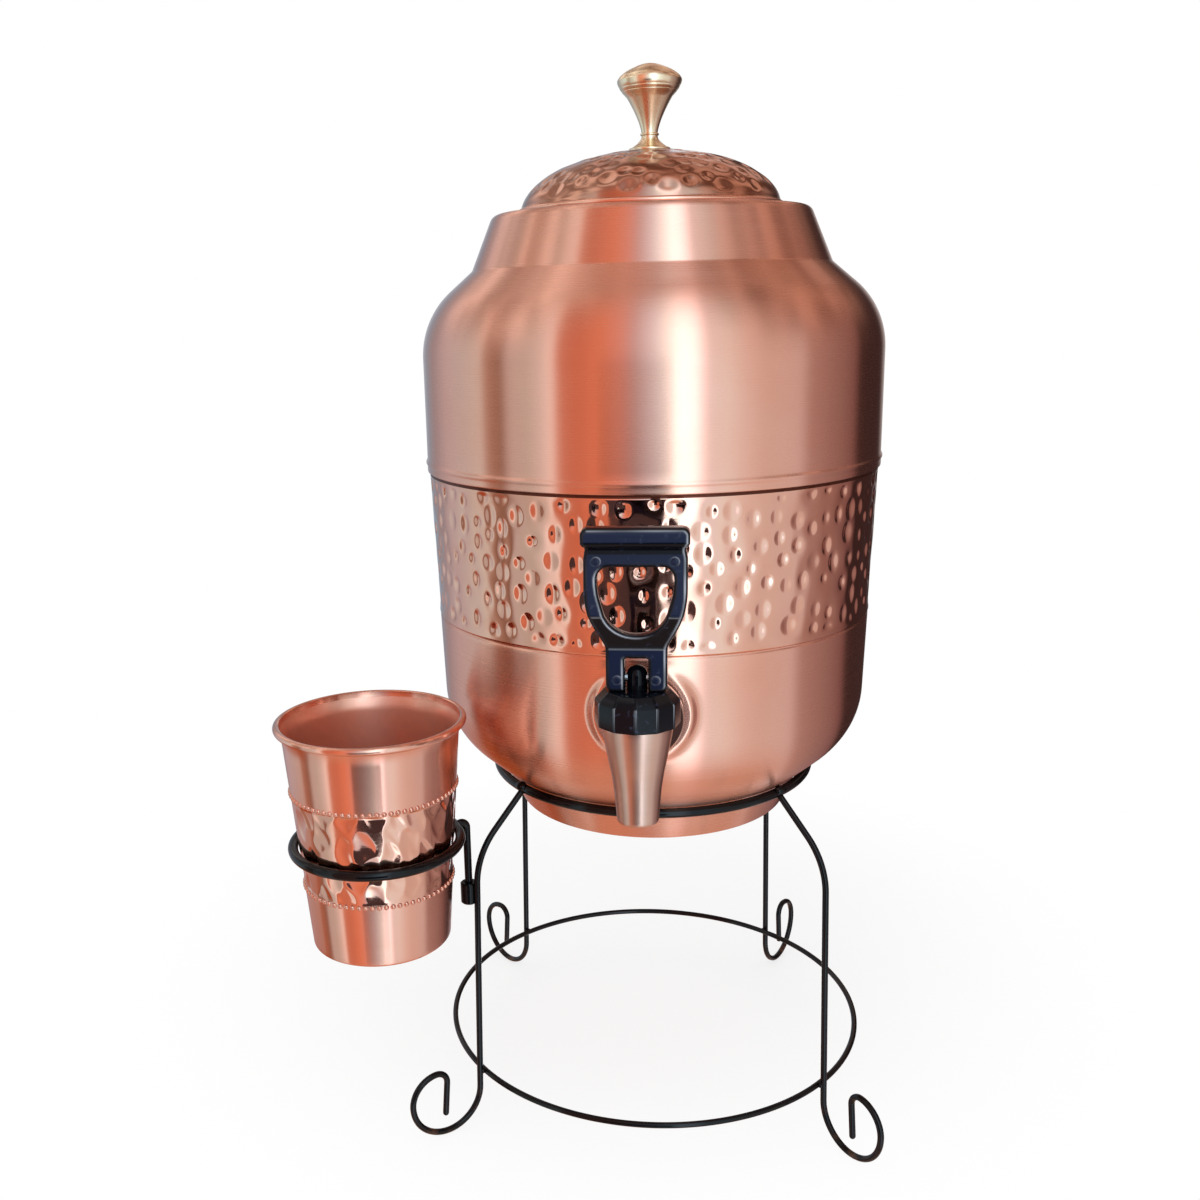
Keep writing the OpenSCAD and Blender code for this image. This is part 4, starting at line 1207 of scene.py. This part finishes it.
        def within(places):
            """Which places lie in the plate and not in its hole."""
            odd = np.zeros(len(places), dtype=bool)
            for start, span in zip(starts, spans):
                cross = (start[1] > places[:, 1]) != (start[1] + span[1] > places[:, 1])
                with np.errstate(divide="ignore", invalid="ignore"):
                    x = start[0] + (places[:, 1] - start[1]) * span[0] / span[1]
                odd ^= cross & (places[:, 0] < x)
            return odd

        normal = np.stack([-spans[:, 1], spans[:, 0]], axis=1)
        normal /= np.linalg.norm(normal, axis=1, keepdims=True)
        extra = [starts + spans / 2 + normal * d * side for side in (1, -1) for d in self.edge_steps]
        wide = np.arange(-tap.bar_half, tap.bar_half, self.step)
        tall = np.arange(0, top, self.step)
        grid = np.stack(np.meshgrid(wide, tall), axis=2).reshape(-1, 2)
        around = np.arange(28) * 2 * math.pi / 28
        for across, up in self.marks:
            for r in np.arange(0.3 * MM, 2.2 * MM, 0.25 * MM):
                for side in (-1, 1):
                    ring = (side * across + r * np.cos(around), up + r * np.sin(around))
                    extra.append(np.stack(ring, axis=1))
                    grid = grid[np.hypot(grid[:, 0] - side * across, grid[:, 1] - up) > 2.3 * MM]
        near = np.vstack(extra)
        gap, _ = to_rim(near)
        near = near[within(near) & (gap > 0.08 * MM)]
        grid = grid[within(grid)]
        grid = grid[to_rim(grid)[0] > 1.1 * MM]
        flat = np.vstack([starts, near, grid])
        edges = []
        shift = 0
        for loop in rim:
            edges += [(shift + i, shift + (i + 1) % len(loop)) for i in range(len(loop))]
            shift += len(loop)
        verts, _, faces, *_ = delaunay_2d_cdt([Vector(p) for p in flat], edges, [], 0, 1e-7)
        flat = np.array([tuple(v) for v in verts])
        centres = np.array([flat[list(face)].mean(axis=0) for face in faces])
        faces = [tuple(face) for face, keep in zip(faces, within(centres)) if keep]
        away, way = to_rim(flat)
        gap = np.minimum(away, tap.edge)
        drop = tap.edge - np.sqrt(np.maximum(tap.edge ** 2 - (tap.edge - gap) ** 2, 0))
        ahead = self.front(tap, flat[:, 0], flat[:, 1], top) + drop
        behind = self.back(tap, flat[:, 1], top) - drop
        size = len(flat)
        points = [(p[0], y, p[1]) for side in (ahead, behind) for p, y in zip(flat, side)]
        used = {(a, b): True for face in faces for a, b in zip(face, face[1:] + face[:1])}
        skin = list(faces) + [tuple(i + size for i in reversed(face)) for face in faces]
        skin += [(b, a, a + size, b + size) for a, b in used if (b, a) not in used]
        kept = sorted({i for face in skin for i in face})
        place = {old: new for new, old in enumerate(kept)}
        # worn holds the painted highlights and the painted bluish reflection, point by point
        worn = self.painted_light(tap, flat, away, way)
        painted_light = {label: np.tile(values, 2)[kept] for label, values in worn.items()}
        return [points[i] for i in kept], [tuple(place[i] for i in face) for face in skin], painted_light

    def painted_light(self, tap, flat, away, way):
        """Where the lever's flat faces take the painted bluish reflection, and where its edges, ledges and
        marks take painted highlights.
        """
        x, h = flat.T
        facing = way / np.maximum(away, 1e-6)[:, None]
        # Painted highlights: edges that face right and up are lighter, with a gentle wave along them
        lit = np.clip(0.95 * facing[:, 0] + 0.55 * facing[:, 1], 0.04, 1)
        lit *= 0.72 + 0.28 * np.sin(h / (2.3 * MM) + x / (4.1 * MM))
        pale = lit * np.exp(-((away - 0.95 * MM) / (0.24 * MM)) ** 2)
        # Painted highlights along the two ledges
        for level, strength in ((tap.paddle_up - 0.4 * MM, 0.45), (tap.fork_up - 0.6 * MM, 0.35)):
            ledge = strength * np.exp(-((h - level) / (0.22 * MM)) ** 2)
            pale = np.maximum(pale, ledge * (away > 0.9 * MM))
        # Painted highlights as crescents on one side of each ring mark
        for across, up in self.marks:
            aside = np.abs(x) - across
            ring = np.hypot(aside, h - up)
            turn = 0.5 + 0.5 * np.cos(np.arctan2(h - up, aside * np.sign(x)) - 0.7)
            pale = np.maximum(pale, 0.55 * turn ** 2 * np.exp(-((ring - 1.5 * MM) / (0.2 * MM)) ** 2))
        # The flat front faces of fork, paddle and bar take the painted bluish reflection
        fork = h < tap.fork_up - 0.8 * MM
        paddle = (h > tap.paddle_up) & (h < tap.bar_up - 2.2 * MM)
        bar = h > tap.bar_up + 2 * MM
        inner = np.clip((away - 0.9 * MM) / (0.5 * MM), 0, 1)
        return {"rubbed": pale, "flat": inner * (fork | paddle | bar)}


class DISPENSER_OT_stand(bpy.types.Operator):
    """Bend and weld the wire stand"""
    bl_idname = "dispenser.stand"
    bl_label = "Stand"

    def execute(self, context):
        stand = settings().stand
        for node in ("upper_ring", "lower_ring"):
            path = circle(POT_AXIS, ring_radius(node), middle(node).z, sides=240)
            new_piece(node + "_wire", node, "stand", wire(path, depth(node), closed=True),
                      [coated_wire()])
        for node, turn, foot_turn in (("leg_front_left", stand.front_left, 0),
                                      ("leg_front_right", stand.front_right, stand.front_foot_turn),
                                      ("leg_back_left", stand.back_left, 0),
                                      ("leg_back_right", stand.back_right, stand.back_foot_turn)):
            new_piece(node + "_wire", node, "stand", self.leg(stand, turn, foot_turn),
                      [coated_wire()])
        return {"FINISHED"}

    def leg(self, stand, turn, foot_turn):
        """One leg from the upper ring over its shoulder down to the scroll foot, with its welds."""
        upper = Vector((ring_radius("upper_ring"), middle("upper_ring").z))
        lower = Vector((ring_radius("lower_ring"), middle("lower_ring").z))
        upper_d, lower_d = depth("upper_ring"), depth("lower_ring")
        start = Vector((lower.x + (lower_d + stand.leg_d) / 2 - stand.weld, lower.y))
        out = polar(1, stand.splay)
        top_out = polar(1, math.pi / 2 - stand.slope)
        rise = Vector((-math.tan(stand.splay), 1))
        reach = upper.dot(top_out) - stand.bend + stand.bend * out.dot(top_out)
        bend_low = start + rise * ((reach - start.dot(top_out)) / rise.dot(top_out))
        bend_mid = bend_low - out * stand.bend
        bend_high = bend_mid + top_out * stand.bend
        leg_end = upper + (bend_high - upper).normalized() * (upper_d / 2 - stand.weld)
        foot_z = stand.leg_d / 2 - stand.foot_flat
        inner_z = foot_z + stand.foot_inner
        lean = (inner_z - lower.y) * math.sin(stand.splay)
        inner = Vector((start.x + (stand.foot_inner - lean) / math.cos(stand.splay), inner_z))
        knee = inner - out * stand.foot_inner
        outer = Vector((inner.x, foot_z + stand.foot_outer))
        top = outer + Vector((stand.foot_outer - stand.foot_top, 0))
        curl = top + Vector((0, stand.foot_top - stand.foot_curl))
        tail = curl + polar(stand.foot_curl, stand.tail_turn)
        tail_end = tail + polar(stand.foot_tail, stand.tail_turn + math.pi / 2)
        shin = filled([leg_end, bend_high], step=3 * MM)
        shin += arc(bend_mid, stand.bend, math.pi / 2 - stand.slope, stand.splay, steps=16)[1:]
        shin += filled([bend_low, knee], step=4 * MM)[1:]
        foot = arc(inner, stand.foot_inner, math.pi + stand.splay, 1.5 * math.pi, steps=14)
        foot += arc(outer, stand.foot_outer, 1.5 * math.pi, 2 * math.pi, steps=18)[1:]
        foot += arc(top, stand.foot_top, 0, math.pi / 2, steps=14)[1:]
        foot += arc(curl, stand.foot_curl, math.pi / 2, stand.tail_turn, steps=12)[1:]
        foot += filled([tail, tail_end], step=2.5 * MM)[1:]
        pivot = Vector((knee.x, 0, knee.y))
        axis = Vector((-math.sin(stand.splay), 0, math.cos(stand.splay)))
        swing = Matrix.Translation(pivot) @ Matrix.Rotation(foot_turn, 4, axis) @ Matrix.Translation(-pivot)
        path = [Vector((p.x, 0, p.y)) for p in shin]
        path += [swing @ Vector((p.x, 0, p.y)) for p in foot[1:]]
        place = Matrix.Translation((*POT_AXIS, 0)) @ Matrix.Rotation(turn, 4, "Z")
        leg = wire([place @ p for p in path], stand.leg_d, floor=0.0)
        welds = [(Vector((upper.x + upper_d * 0.32, 0, upper.y + upper_d * 0.3)), 2.3 * MM),
                 (Vector((lower.x + lower_d / 2, 0, lower.y)), 1.5 * MM)]
        return joined(leg, *(ball(at, (size, size * 1.3, size * 0.95), place) for at, size in welds))


class DISPENSER_OT_cup_holder(bpy.types.Operator):
    """Bend the tumbler's ring with its hook, and its socket on the leg"""
    bl_idname = "dispenser.cup_holder"
    bl_label = "Tumbler holder"

    play = 0.05 * MM
    arm_clear = 0.5 * MM
    weld_half = (2.4 * MM, 2.6 * MM, 2.2 * MM)

    def execute(self, context):
        stand = settings().stand
        low, high = BOXES["holder_socket"]
        radius = half_width("holder_socket")
        bore = stand.arm_d / 2 + self.play
        tube = offsets(bore, low.z, (0, 0.3), (0.3, 0)) + offsets(radius, low.z, (-0.5, 0), (0, 0.5))
        tube += offsets(radius, high.z, (0, -0.5), (-0.5, 0)) + offsets(bore, high.z, (0.3, 0), (0, -0.3))
        new_piece("holder_socket_tube", "holder_socket", "stand",
                  turned(tube, SOCKET_AXIS, columns=48, closed=True), [coated_wire()])
        ring_z = self.ring_height(stand)
        ring_r = self.radius_at(stand, ring_z)
        ring = wire(circle(CUP_AXIS, ring_r, ring_z, sides=160), stand.holder_d, sides=24, closed=True)
        to_socket = SOCKET_AXIS - CUP_AXIS
        span = to_socket.length - ring_r
        arm_z = ring_z - stand.arm_drop
        arm_end = Vector((ring_r + span, low.z + self.arm_clear + stand.arm_d / 2))
        hook = [Vector((ring_r, arm_z))]
        hook += arc(Vector((ring_r + span / 2, arm_z)), span / 2, math.pi, 0, steps=20)[1:]
        hook += filled([hook[-1], arm_end], 3 * MM)[1:]
        turn = math.atan2(to_socket.y, to_socket.x)
        place = Matrix.Translation((*CUP_AXIS, 0)) @ Matrix.Rotation(turn, 4, "Z")
        arm = wire([place @ Vector((p.x, 0, p.y)) for p in hook], stand.arm_d)
        weld = ball((ring_r + 0.8 * MM, 0, arm_z + 0.3 * MM), self.weld_half, place)
        new_piece("cup_holder_wire", "cup_holder", "cup_holder", joined(ring, arm, weld),
                  [coated_wire()])
        return {"FINISHED"}

    def ring_height(self, stand):
        """Height of the ring at which the top of its hook meets the node's top."""
        top = high_z("cup_holder")
        height = top
        for _ in range(30):
            span = (SOCKET_AXIS - CUP_AXIS).length - self.radius_at(stand, height)
            height = top - span / 2 - stand.arm_d / 2 + stand.arm_drop
        return height

    def radius_at(self, stand, height):
        """Radius of a ring that lies round the tumbler at a height."""
        cup = settings().cup
        share = (height - low_z("cup")) / depth("cup")
        return cup.base_r + (cup.rim_r - cup.base_r) * share + stand.holder_gap + stand.holder_d / 2


class DISPENSER_OT_cup(bpy.types.Operator):
    """Spin the copper tumbler with its rolled rim, beaded lines and hammered band"""
    bl_idname = "dispenser.cup"
    bl_label = "Tumbler"

    columns = 400
    plain_step = 2 * MM
    band_step = 0.6 * MM
    lip = 6 * MM
    facet_round = 15 * MM
    facet_soft = 0.13 * MM
    facet_share = 0.62
    band_fade = 0.8 * MM

    def execute(self, context):
        cup = settings().cup
        base_z, rim_z = low_z("cup"), high_z("cup")
        tall = rim_z - base_z

        def wall_r(z):
            """Radius of the wall at a height."""
            return cup.base_r + (cup.rim_r - cup.base_r) * (z - base_z) / tall

        low_bead, high_bead = base_z + cup.lower_bead, base_z + cup.upper_bead
        roll_z = rim_z - cup.rim_wire
        base = vectors((0, base_z + 0.8 * MM))
        base += offsets(cup.base_r, base_z, (-4, 0.8), (-3, 0.2), (-2, 0))
        side = vectors((0, base_z), (cup.base_r, base_z), (wall_r(rim_z), rim_z))
        foot = rounded(*side, 1.5 * MM, steps=6)
        band_low, band_high = vectors((wall_r(low_bead), low_bead), (wall_r(high_bead), high_bead))
        lower = filled([foot[-1], band_low], self.plain_step)
        band = filled([band_low, band_high], self.band_step)
        lip_low = roll_z - 7 * MM
        flared = [Vector((wall_r(lip_low + t * self.lip) + cup.flare * t ** 2, lip_low + t * self.lip))
                  for t in np.linspace(0, 1, 8)]
        upper = filled([band_high, flared[0]], self.plain_step) + flared[1:]
        roll = arc(Vector((cup.rim_r + cup.flare, roll_z)), cup.rim_wire, math.radians(-75),
                   math.acos(-cup.wall / cup.rim_wire), steps=14)
        inner = [p - Vector((cup.wall, 0)) for p in reversed(flared)]
        inner_r, inner_z = cup.base_r - cup.wall, base_z + cup.wall
        inner += filled([inner[-1], *offsets(inner_r, inner_z, (-1.2, 1.2))], 4 * MM)[1:]
        floor = offsets(inner_r, inner_z, (-2.6, 0.4))
        floor += vectors((cup.base_r * 0.5, inner_z + 0.3 * MM), (0, inner_z + 0.3 * MM))
        profile = base + foot + lower[1:] + band[1:] + upper[1:] + roll + inner + floor
        mean_r = wall_r((low_bead + high_bead) / 2)
        width = 2 * math.pi * mean_r
        places = scattered(width, (high_bead - low_bead) * self.facet_share, cup.facet_gap, seed=51)
        dice = random.Random(52)
        level = [dice.uniform(0.0, 0.25 * MM) for _ in places]

        def relief(turn_at, radius, height):
            outer = radius > wall_r(height) - cup.wall / 2
            across = turn_at * mean_r + waves(turn_at, height, seed=53, strength=2.4 * MM, pitch=3 * MM)
            raised = height - low_bead + waves(turn_at * 3, height, seed=54, strength=2.4 * MM, pitch=3 * MM)
            met = np.full(turn_at.shape, 1e-9)
            for (x, up), sunk in zip(places, level):
                gap = np.abs(across - x)
                gap = np.minimum(gap, width - gap)
                bowl = (gap ** 2 + (raised * self.facet_share - up) ** 2) / (2 * self.facet_round) + sunk
                met += np.exp(-bowl / self.facet_soft)
            nearest = -self.facet_soft * np.log(met)
            margin = np.clip((height - low_bead - self.band_fade) / self.band_fade, 0, 1)
            margin *= np.clip((high_bead - self.band_fade - height) / self.band_fade, 0, 1)
            hollow = np.maximum(cup.facet_deep - nearest, -0.1 * MM) + 0.2 * MM
            return np.where(outer & (height < lip_low), -hollow * margin, 0)

        def slot_at(radius, height):
            flared_r = wall_r(height) + cup.flare * min(max((height - lip_low) / self.lip, 0), 1) ** 2
            if radius < flared_r - cup.wall / 2 and base_z + cup.wall * 0.6 < height < roll_z - 0.8 * MM:
                return 2
            return int(low_bead + 1 * MM < height < high_bead - 1 * MM)

        def bead(at, z):
            """One bead, with its points kept out of the tumbler's inside."""
            points, faces, slots = ball((*at, z), (cup.bead_r,) * 3, rings=6, sides=8)
            for point in points:
                aside = point.xy - CUP_AXIS
                aside.length = max(aside.length, wall_r(z) - cup.wall / 2)
                point.xy = CUP_AXIS + aside
            return points, faces, slots

        parts = [turned(profile, CUP_AXIS, self.columns, relief=relief, slot_at=slot_at)]
        for z in (low_bead, high_bead):
            beads = int(2 * math.pi * wall_r(z) / cup.bead_pitch)
            bead_r = wall_r(z) - 0.3 * MM
            parts += [bead(CUP_AXIS + polar(bead_r, 2 * math.pi * i / beads), z) for i in range(beads)]
        new_piece("cup_copper_sheet", "cup", "cup", joined(*parts),
                  [satin_copper("cup_satin_copper", tone("copper"), rough=0.22),
                   bright_copper("cup_hammered_copper", tone("copper_bright")),
                   matt_copper("cup_matt_copper", tone("copper_matt"))], crease=50)
        return {"FINISHED"}


class DISPENSER_OT_fittings(bpy.types.Operator):
    """Give the hidden fittings of lid and tap their finishes"""
    bl_idname = "dispenser.fittings"
    bl_label = "Fittings"

    def execute(self, context):
        finishes = (
            (satin_copper("collar_satin_copper", tone("copper_lid")), ("lid_collar",)),
            (turned_brass(), ("knob_washer", "knob_nut")),
            (soft_silicone(), ("outer_washer", "inner_washer", "seat_plug")),
            (turned_metal("fixing_steel", tone("steel"), rough=0.3, across=1500.0),
             ("lock_nut", "pivot_pin", "return_spring")),
        )
        for material, nodes in finishes:
            for node in nodes:
                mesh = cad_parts[node].data
                mesh.materials.clear()
                mesh.materials.append(material)
        return {"FINISHED"}


class DISPENSER_OT_stage(bpy.types.Operator):
    """Set up the camera, the pale floor and the soft light"""
    bl_idname = "dispenser.stage"
    bl_label = "Stage"

    floor_half = 12.0
    shadow_middle = (0.0, 0.14, 0.0)
    shadow_reach = (0.1, 0.29)
    lamp_place = Vector((-0.5, -0.9, 1.4))
    lamp_target = Vector((0, 0, 0.2))
    lamp_size = 1.2
    # What polished metal sees around it at eye level: turn from the front in degrees, and colour
    surround = (
        # Grey back and pale blue left side
        (-180, (0.80, 0.85, 0.90)), (-150, (0.30, 0.40, 0.50)), (-135, (0.40, 0.40, 0.45)),
        (-120, (0.60, 0.65, 0.75)), (-100, (0.70, 0.90, 1.00)), (-89, (0.80, 1.00, 1.05)),
        # Brown strip, then a pale panel with a bright edge
        (-84, (0.50, 0.40, 0.35)), (-75, (0.30, 0.20, 0.15)), (-70, (0.65, 0.70, 0.75)),
        (-60, (0.65, 0.75, 0.75)), (-52, (0.85, 0.95, 1.00)), (-46, (1.20, 1.30, 1.35)),
        # Warm orange panel
        (-42, (0.75, 0.35, 0.25)), (-33, (0.75, 0.30, 0.20)), (-21, (0.95, 0.40, 0.25)),
        (-11, (0.95, 0.55, 0.50)), (-5, (0.80, 0.75, 0.85)),
        # Bright soft box
        (4, (1.10, 1.40, 1.70)), (11, (1.60, 2.30, 2.60)), (16, (2.45, 3.10, 3.60)),
        (23, (2.30, 2.75, 3.25)), (29, (1.05, 1.30, 1.50)), (38, (1.05, 1.30, 1.40)),
        # Pale right side that ends in a dark strip
        (48, (0.95, 1.00, 1.05)), (57, (0.85, 0.85, 0.85)), (77, (0.80, 0.80, 0.85)),
        (84, (0.50, 0.40, 0.40)), (105, (0.35, 0.25, 0.25)), (116, (0.25, 0.15, 0.15)),
        (122, (0.05, 0.03, 0.03)), (152, (0.05, 0.03, 0.03)), (168, (0.60, 0.60, 0.60)))

    def execute(self, context):
        stage = settings().stage
        scene = context.scene
        scene.view_settings.view_transform = "Standard"
        self.camera(scene, stage)
        self.floor(scene, stage)
        self.card(scene, stage)
        self.world(scene, stage)
        self.lamp(scene, stage)
        return {"FINISHED"}

    def camera(self, scene, stage):
        """Camera where the viewer stands."""
        data = bpy.data.cameras.new("viewer")
        data.lens = stage.lens
        data.sensor_width = 36.0
        data.shift_x = stage.shift_x
        data.shift_y = stage.shift_y
        data.clip_start = 0.01
        camera = bpy.data.objects.new("viewer", data)
        turn = Matrix.Rotation(stage.yaw, 4, "Z") @ Matrix.Rotation(stage.pitch, 4, "X")
        camera.matrix_world = Matrix.Translation(stage.eye) @ turn @ Matrix.Rotation(stage.roll, 4, "Z")
        scene.collection.objects.link(camera)
        scene.camera = camera

    def sheet(self, scene, name, finish_name, corners, build):
        """Flat stage object whose surface shader is made by build."""
        material = bpy.data.materials.new(finish_name)
        material.use_nodes = True
        tree = material.node_tree
        tree.nodes.clear()
        add(tree, "ShaderNodeOutputMaterial", {"Surface": build(tree)})
        mesh = bpy.data.meshes.new(name)
        mesh.from_pydata(corners, [], [(0, 1, 2, 3)])
        mesh.materials.append(material)
        sheet = bpy.data.objects.new(name, mesh)
        scene.collection.objects.link(sheet)
        return sheet

    def floor(self, scene, stage):
        """Wide white floor that only takes the shadow."""
        def build(tree):
            matt = add(tree, "ShaderNodeBsdfDiffuse", {"Color": (0.99, 0.99, 0.99, 1.0)})
            glow = add(tree, "ShaderNodeEmission", {"Color": (1.0, 1.0, 1.0, 1.0), "Strength": 1.0})
            away = add(tree, "ShaderNodeVectorMath", {0: own_place(tree), 1: self.shadow_middle},
                       operation="DISTANCE").outputs["Value"]
            white = ranged(tree, away, 1.0 - stage.shadow, 1.0, *self.shadow_reach, smooth=True)
            seen = add(tree, "ShaderNodeLightPath").outputs["Is Camera Ray"]
            share = maths(tree, "MULTIPLY", seen, white)
            mix = add(tree, "ShaderNodeMixShader", {0: share, 1: matt.outputs[0], 2: glow.outputs[0]})
            return mix.outputs[0]
        far = self.floor_half
        corners = [(-far, -far, 0), (far, -far, 0), (far, far, 0), (-far, far, 0)]
        floor = self.sheet(scene, "floor", "floor_white", corners, build)
        floor.visible_glossy = False

    def card(self, scene, stage):
        """Dark card in front of the object that only polished surfaces see."""
        def build(tree):
            glow = add(tree, "ShaderNodeEmission", {"Color": (0.08, 0.062, 0.07, 1.0), "Strength": 1.0})
            return glow.outputs[0]
        left, right = stage.card_middle - stage.card_half, stage.card_middle + stage.card_half
        low, high, ahead = stage.card_low, stage.card_high, -stage.card_far
        corners = [(left, ahead, low), (right, ahead, low), (right, ahead, high), (left, ahead, high)]
        card = self.sheet(scene, "dark_card", "card_dark", corners, build)
        card.visible_camera = False
        card.visible_diffuse = False
        card.visible_shadow = False
        card.visible_transmission = False

    def world(self, scene, stage):
        """White for the viewer, even soft light for matt surfaces and a surround for polished metal."""
        world = bpy.data.worlds.new("studio")
        scene.world = world
        world.use_nodes = True
        tree = world.node_tree
        tree.nodes.clear()
        path = add(tree, "ShaderNodeLightPath").outputs
        backdrop = blended(tree, path["Is Camera Ray"], self.studio(tree), (1.0, 1.0, 1.0))
        sharp = maths(tree, "ADD", path["Is Camera Ray"], path["Is Glossy Ray"])
        seen = maths(tree, "ADD", sharp, path["Is Transmission Ray"], clamp=True)
        soft = add(tree, "ShaderNodeBackground", {"Color": (1.0, 1.0, 1.0, 1.0),
                                                  "Strength": stage.soft_light})
        shown = add(tree, "ShaderNodeBackground", {"Color": backdrop, "Strength": 1.0})
        mix = add(tree, "ShaderNodeMixShader", {0: seen, 1: soft.outputs[0], 2: shown.outputs[0]})
        add(tree, "ShaderNodeOutputWorld", {"Surface": mix.outputs[0]})

    def studio(self, tree):
        """Colour of the surround by direction: upright panels, with patches below, at the left and above."""
        toward = add(tree, "ShaderNodeTexCoord").outputs["Generated"]
        split = add(tree, "ShaderNodeSeparateXYZ", {"Vector": toward}).outputs
        half = maths(tree, "ARCTAN2", split["X"], maths(tree, "SUBTRACT", 1.0, split["Y"]))
        turn = maths(tree, "MULTIPLY", half, 2.0)
        level = maths(tree, "ARCSINE", split["Z"])
        behind = maths(tree, "ARCSINE", split["Y"])
        share = ranged(tree, turn, start=-math.pi, end=math.pi)
        ramp = add(tree, "ShaderNodeValToRGB", {"Fac": share})
        stops = ramp.color_ramp.elements
        for _ in self.surround[2:]:
            stops.new(1.0)
        for stop, (turn_at, rgb) in zip(stops, self.surround):
            stop.position = (turn_at + 180) / 360
            stop.color = (*rgb, 1.0)
        below = self.patch(tree, turn, level, (-190, -185, 185, 190), (-110, -100, -62, -38))
        warm = self.patch(tree, turn, level, (-175, -150, -88, -70), (-110, -100, -36, -16))
        above = self.patch(tree, behind, level, (-38, -2, 100, 110), (12, 30, 100, 110))
        colour_at = blended(tree, below, ramp.outputs[0], (0.80, 0.49, 0.36))
        colour_at = blended(tree, warm, colour_at, (0.46, 0.12, 0.04))
        mottle = ranged(tree, noise(tree, toward, scale=5.5, detail=1.0), low=-3.2, high=4.2)
        left_side = blended(tree, mottle, (0.40, 0.31, 0.27), (1.40, 1.28, 1.20))
        right_side = blended(tree, mottle, (0.17, 0.08, 0.05), (0.85, 0.58, 0.47))
        across = ranged(tree, split["X"], start=-0.4, end=0.0, smooth=True)
        return blended(tree, above, colour_at, blended(tree, across, left_side, right_side))

    def patch(self, tree, turn, level, turns, levels):
        """Mask of a soft-edged patch of the surround, from its limits in turn and in level in degrees."""
        mask = None
        for value, limits in ((turn, turns), (level, levels)):
            for start, end in (limits[:2], limits[:1:-1]):
                edge = ranged(tree, value, start=math.radians(start), end=math.radians(end), smooth=True)
                mask = edge if mask is None else maths(tree, "MULTIPLY", mask, edge)
        return mask

    def lamp(self, scene, stage):
        """Large soft lamp over the viewer's left shoulder."""
        data = bpy.data.lights.new("soft_box", "AREA")
        data.energy = stage.lamp
        data.size = self.lamp_size
        lamp = bpy.data.objects.new("soft_box", data)
        aim = (self.lamp_target - self.lamp_place).to_track_quat("-Z", "Y").to_matrix().to_4x4()
        lamp.matrix_world = Matrix.Translation(self.lamp_place) @ aim
        lamp.visible_glossy = False
        scene.collection.objects.link(lamp)


class DISPENSER_PT_pieces(bpy.types.Panel):
    """Lists the pieces of the dispenser"""
    bl_label = "Copper water dispenser"
    bl_idname = "DISPENSER_PT_pieces"
    bl_space_type = "VIEW_3D"
    bl_region_type = "UI"
    bl_category = "Dispenser"

    def draw(self, context):
        for operator in PIECES:
            self.layout.operator(operator.bl_idname)


PIECES = (DISPENSER_OT_stage, DISPENSER_OT_pot, DISPENSER_OT_lid, DISPENSER_OT_knob, DISPENSER_OT_tap,
          DISPENSER_OT_lever, DISPENSER_OT_stand, DISPENSER_OT_cup_holder, DISPENSER_OT_cup,
          DISPENSER_OT_fittings)
CLASSES = (PotSizes, LidSizes, TapSizes, StandSizes, CupSizes, FinishColours, StageSettings,
           DispenserSettings, *PIECES, DISPENSER_PT_pieces)


def register():
    """Make the settings, the operators and the panel known."""
    for cls in CLASSES:
        bpy.utils.register_class(cls)
    bpy.types.Scene.dispenser = bpy.props.PointerProperty(type=DispenserSettings)


def unregister():
    """Take the settings, the operators and the panel away again."""
    del bpy.types.Scene.dispenser
    for cls in reversed(CLASSES):
        bpy.utils.unregister_class(cls)


def main():
    """Make every piece in order."""
    register()
    for operator in PIECES:
        family, piece = operator.bl_idname.split(".")
        getattr(getattr(bpy.ops, family), piece)()


if __name__ == "__main__":
    main()
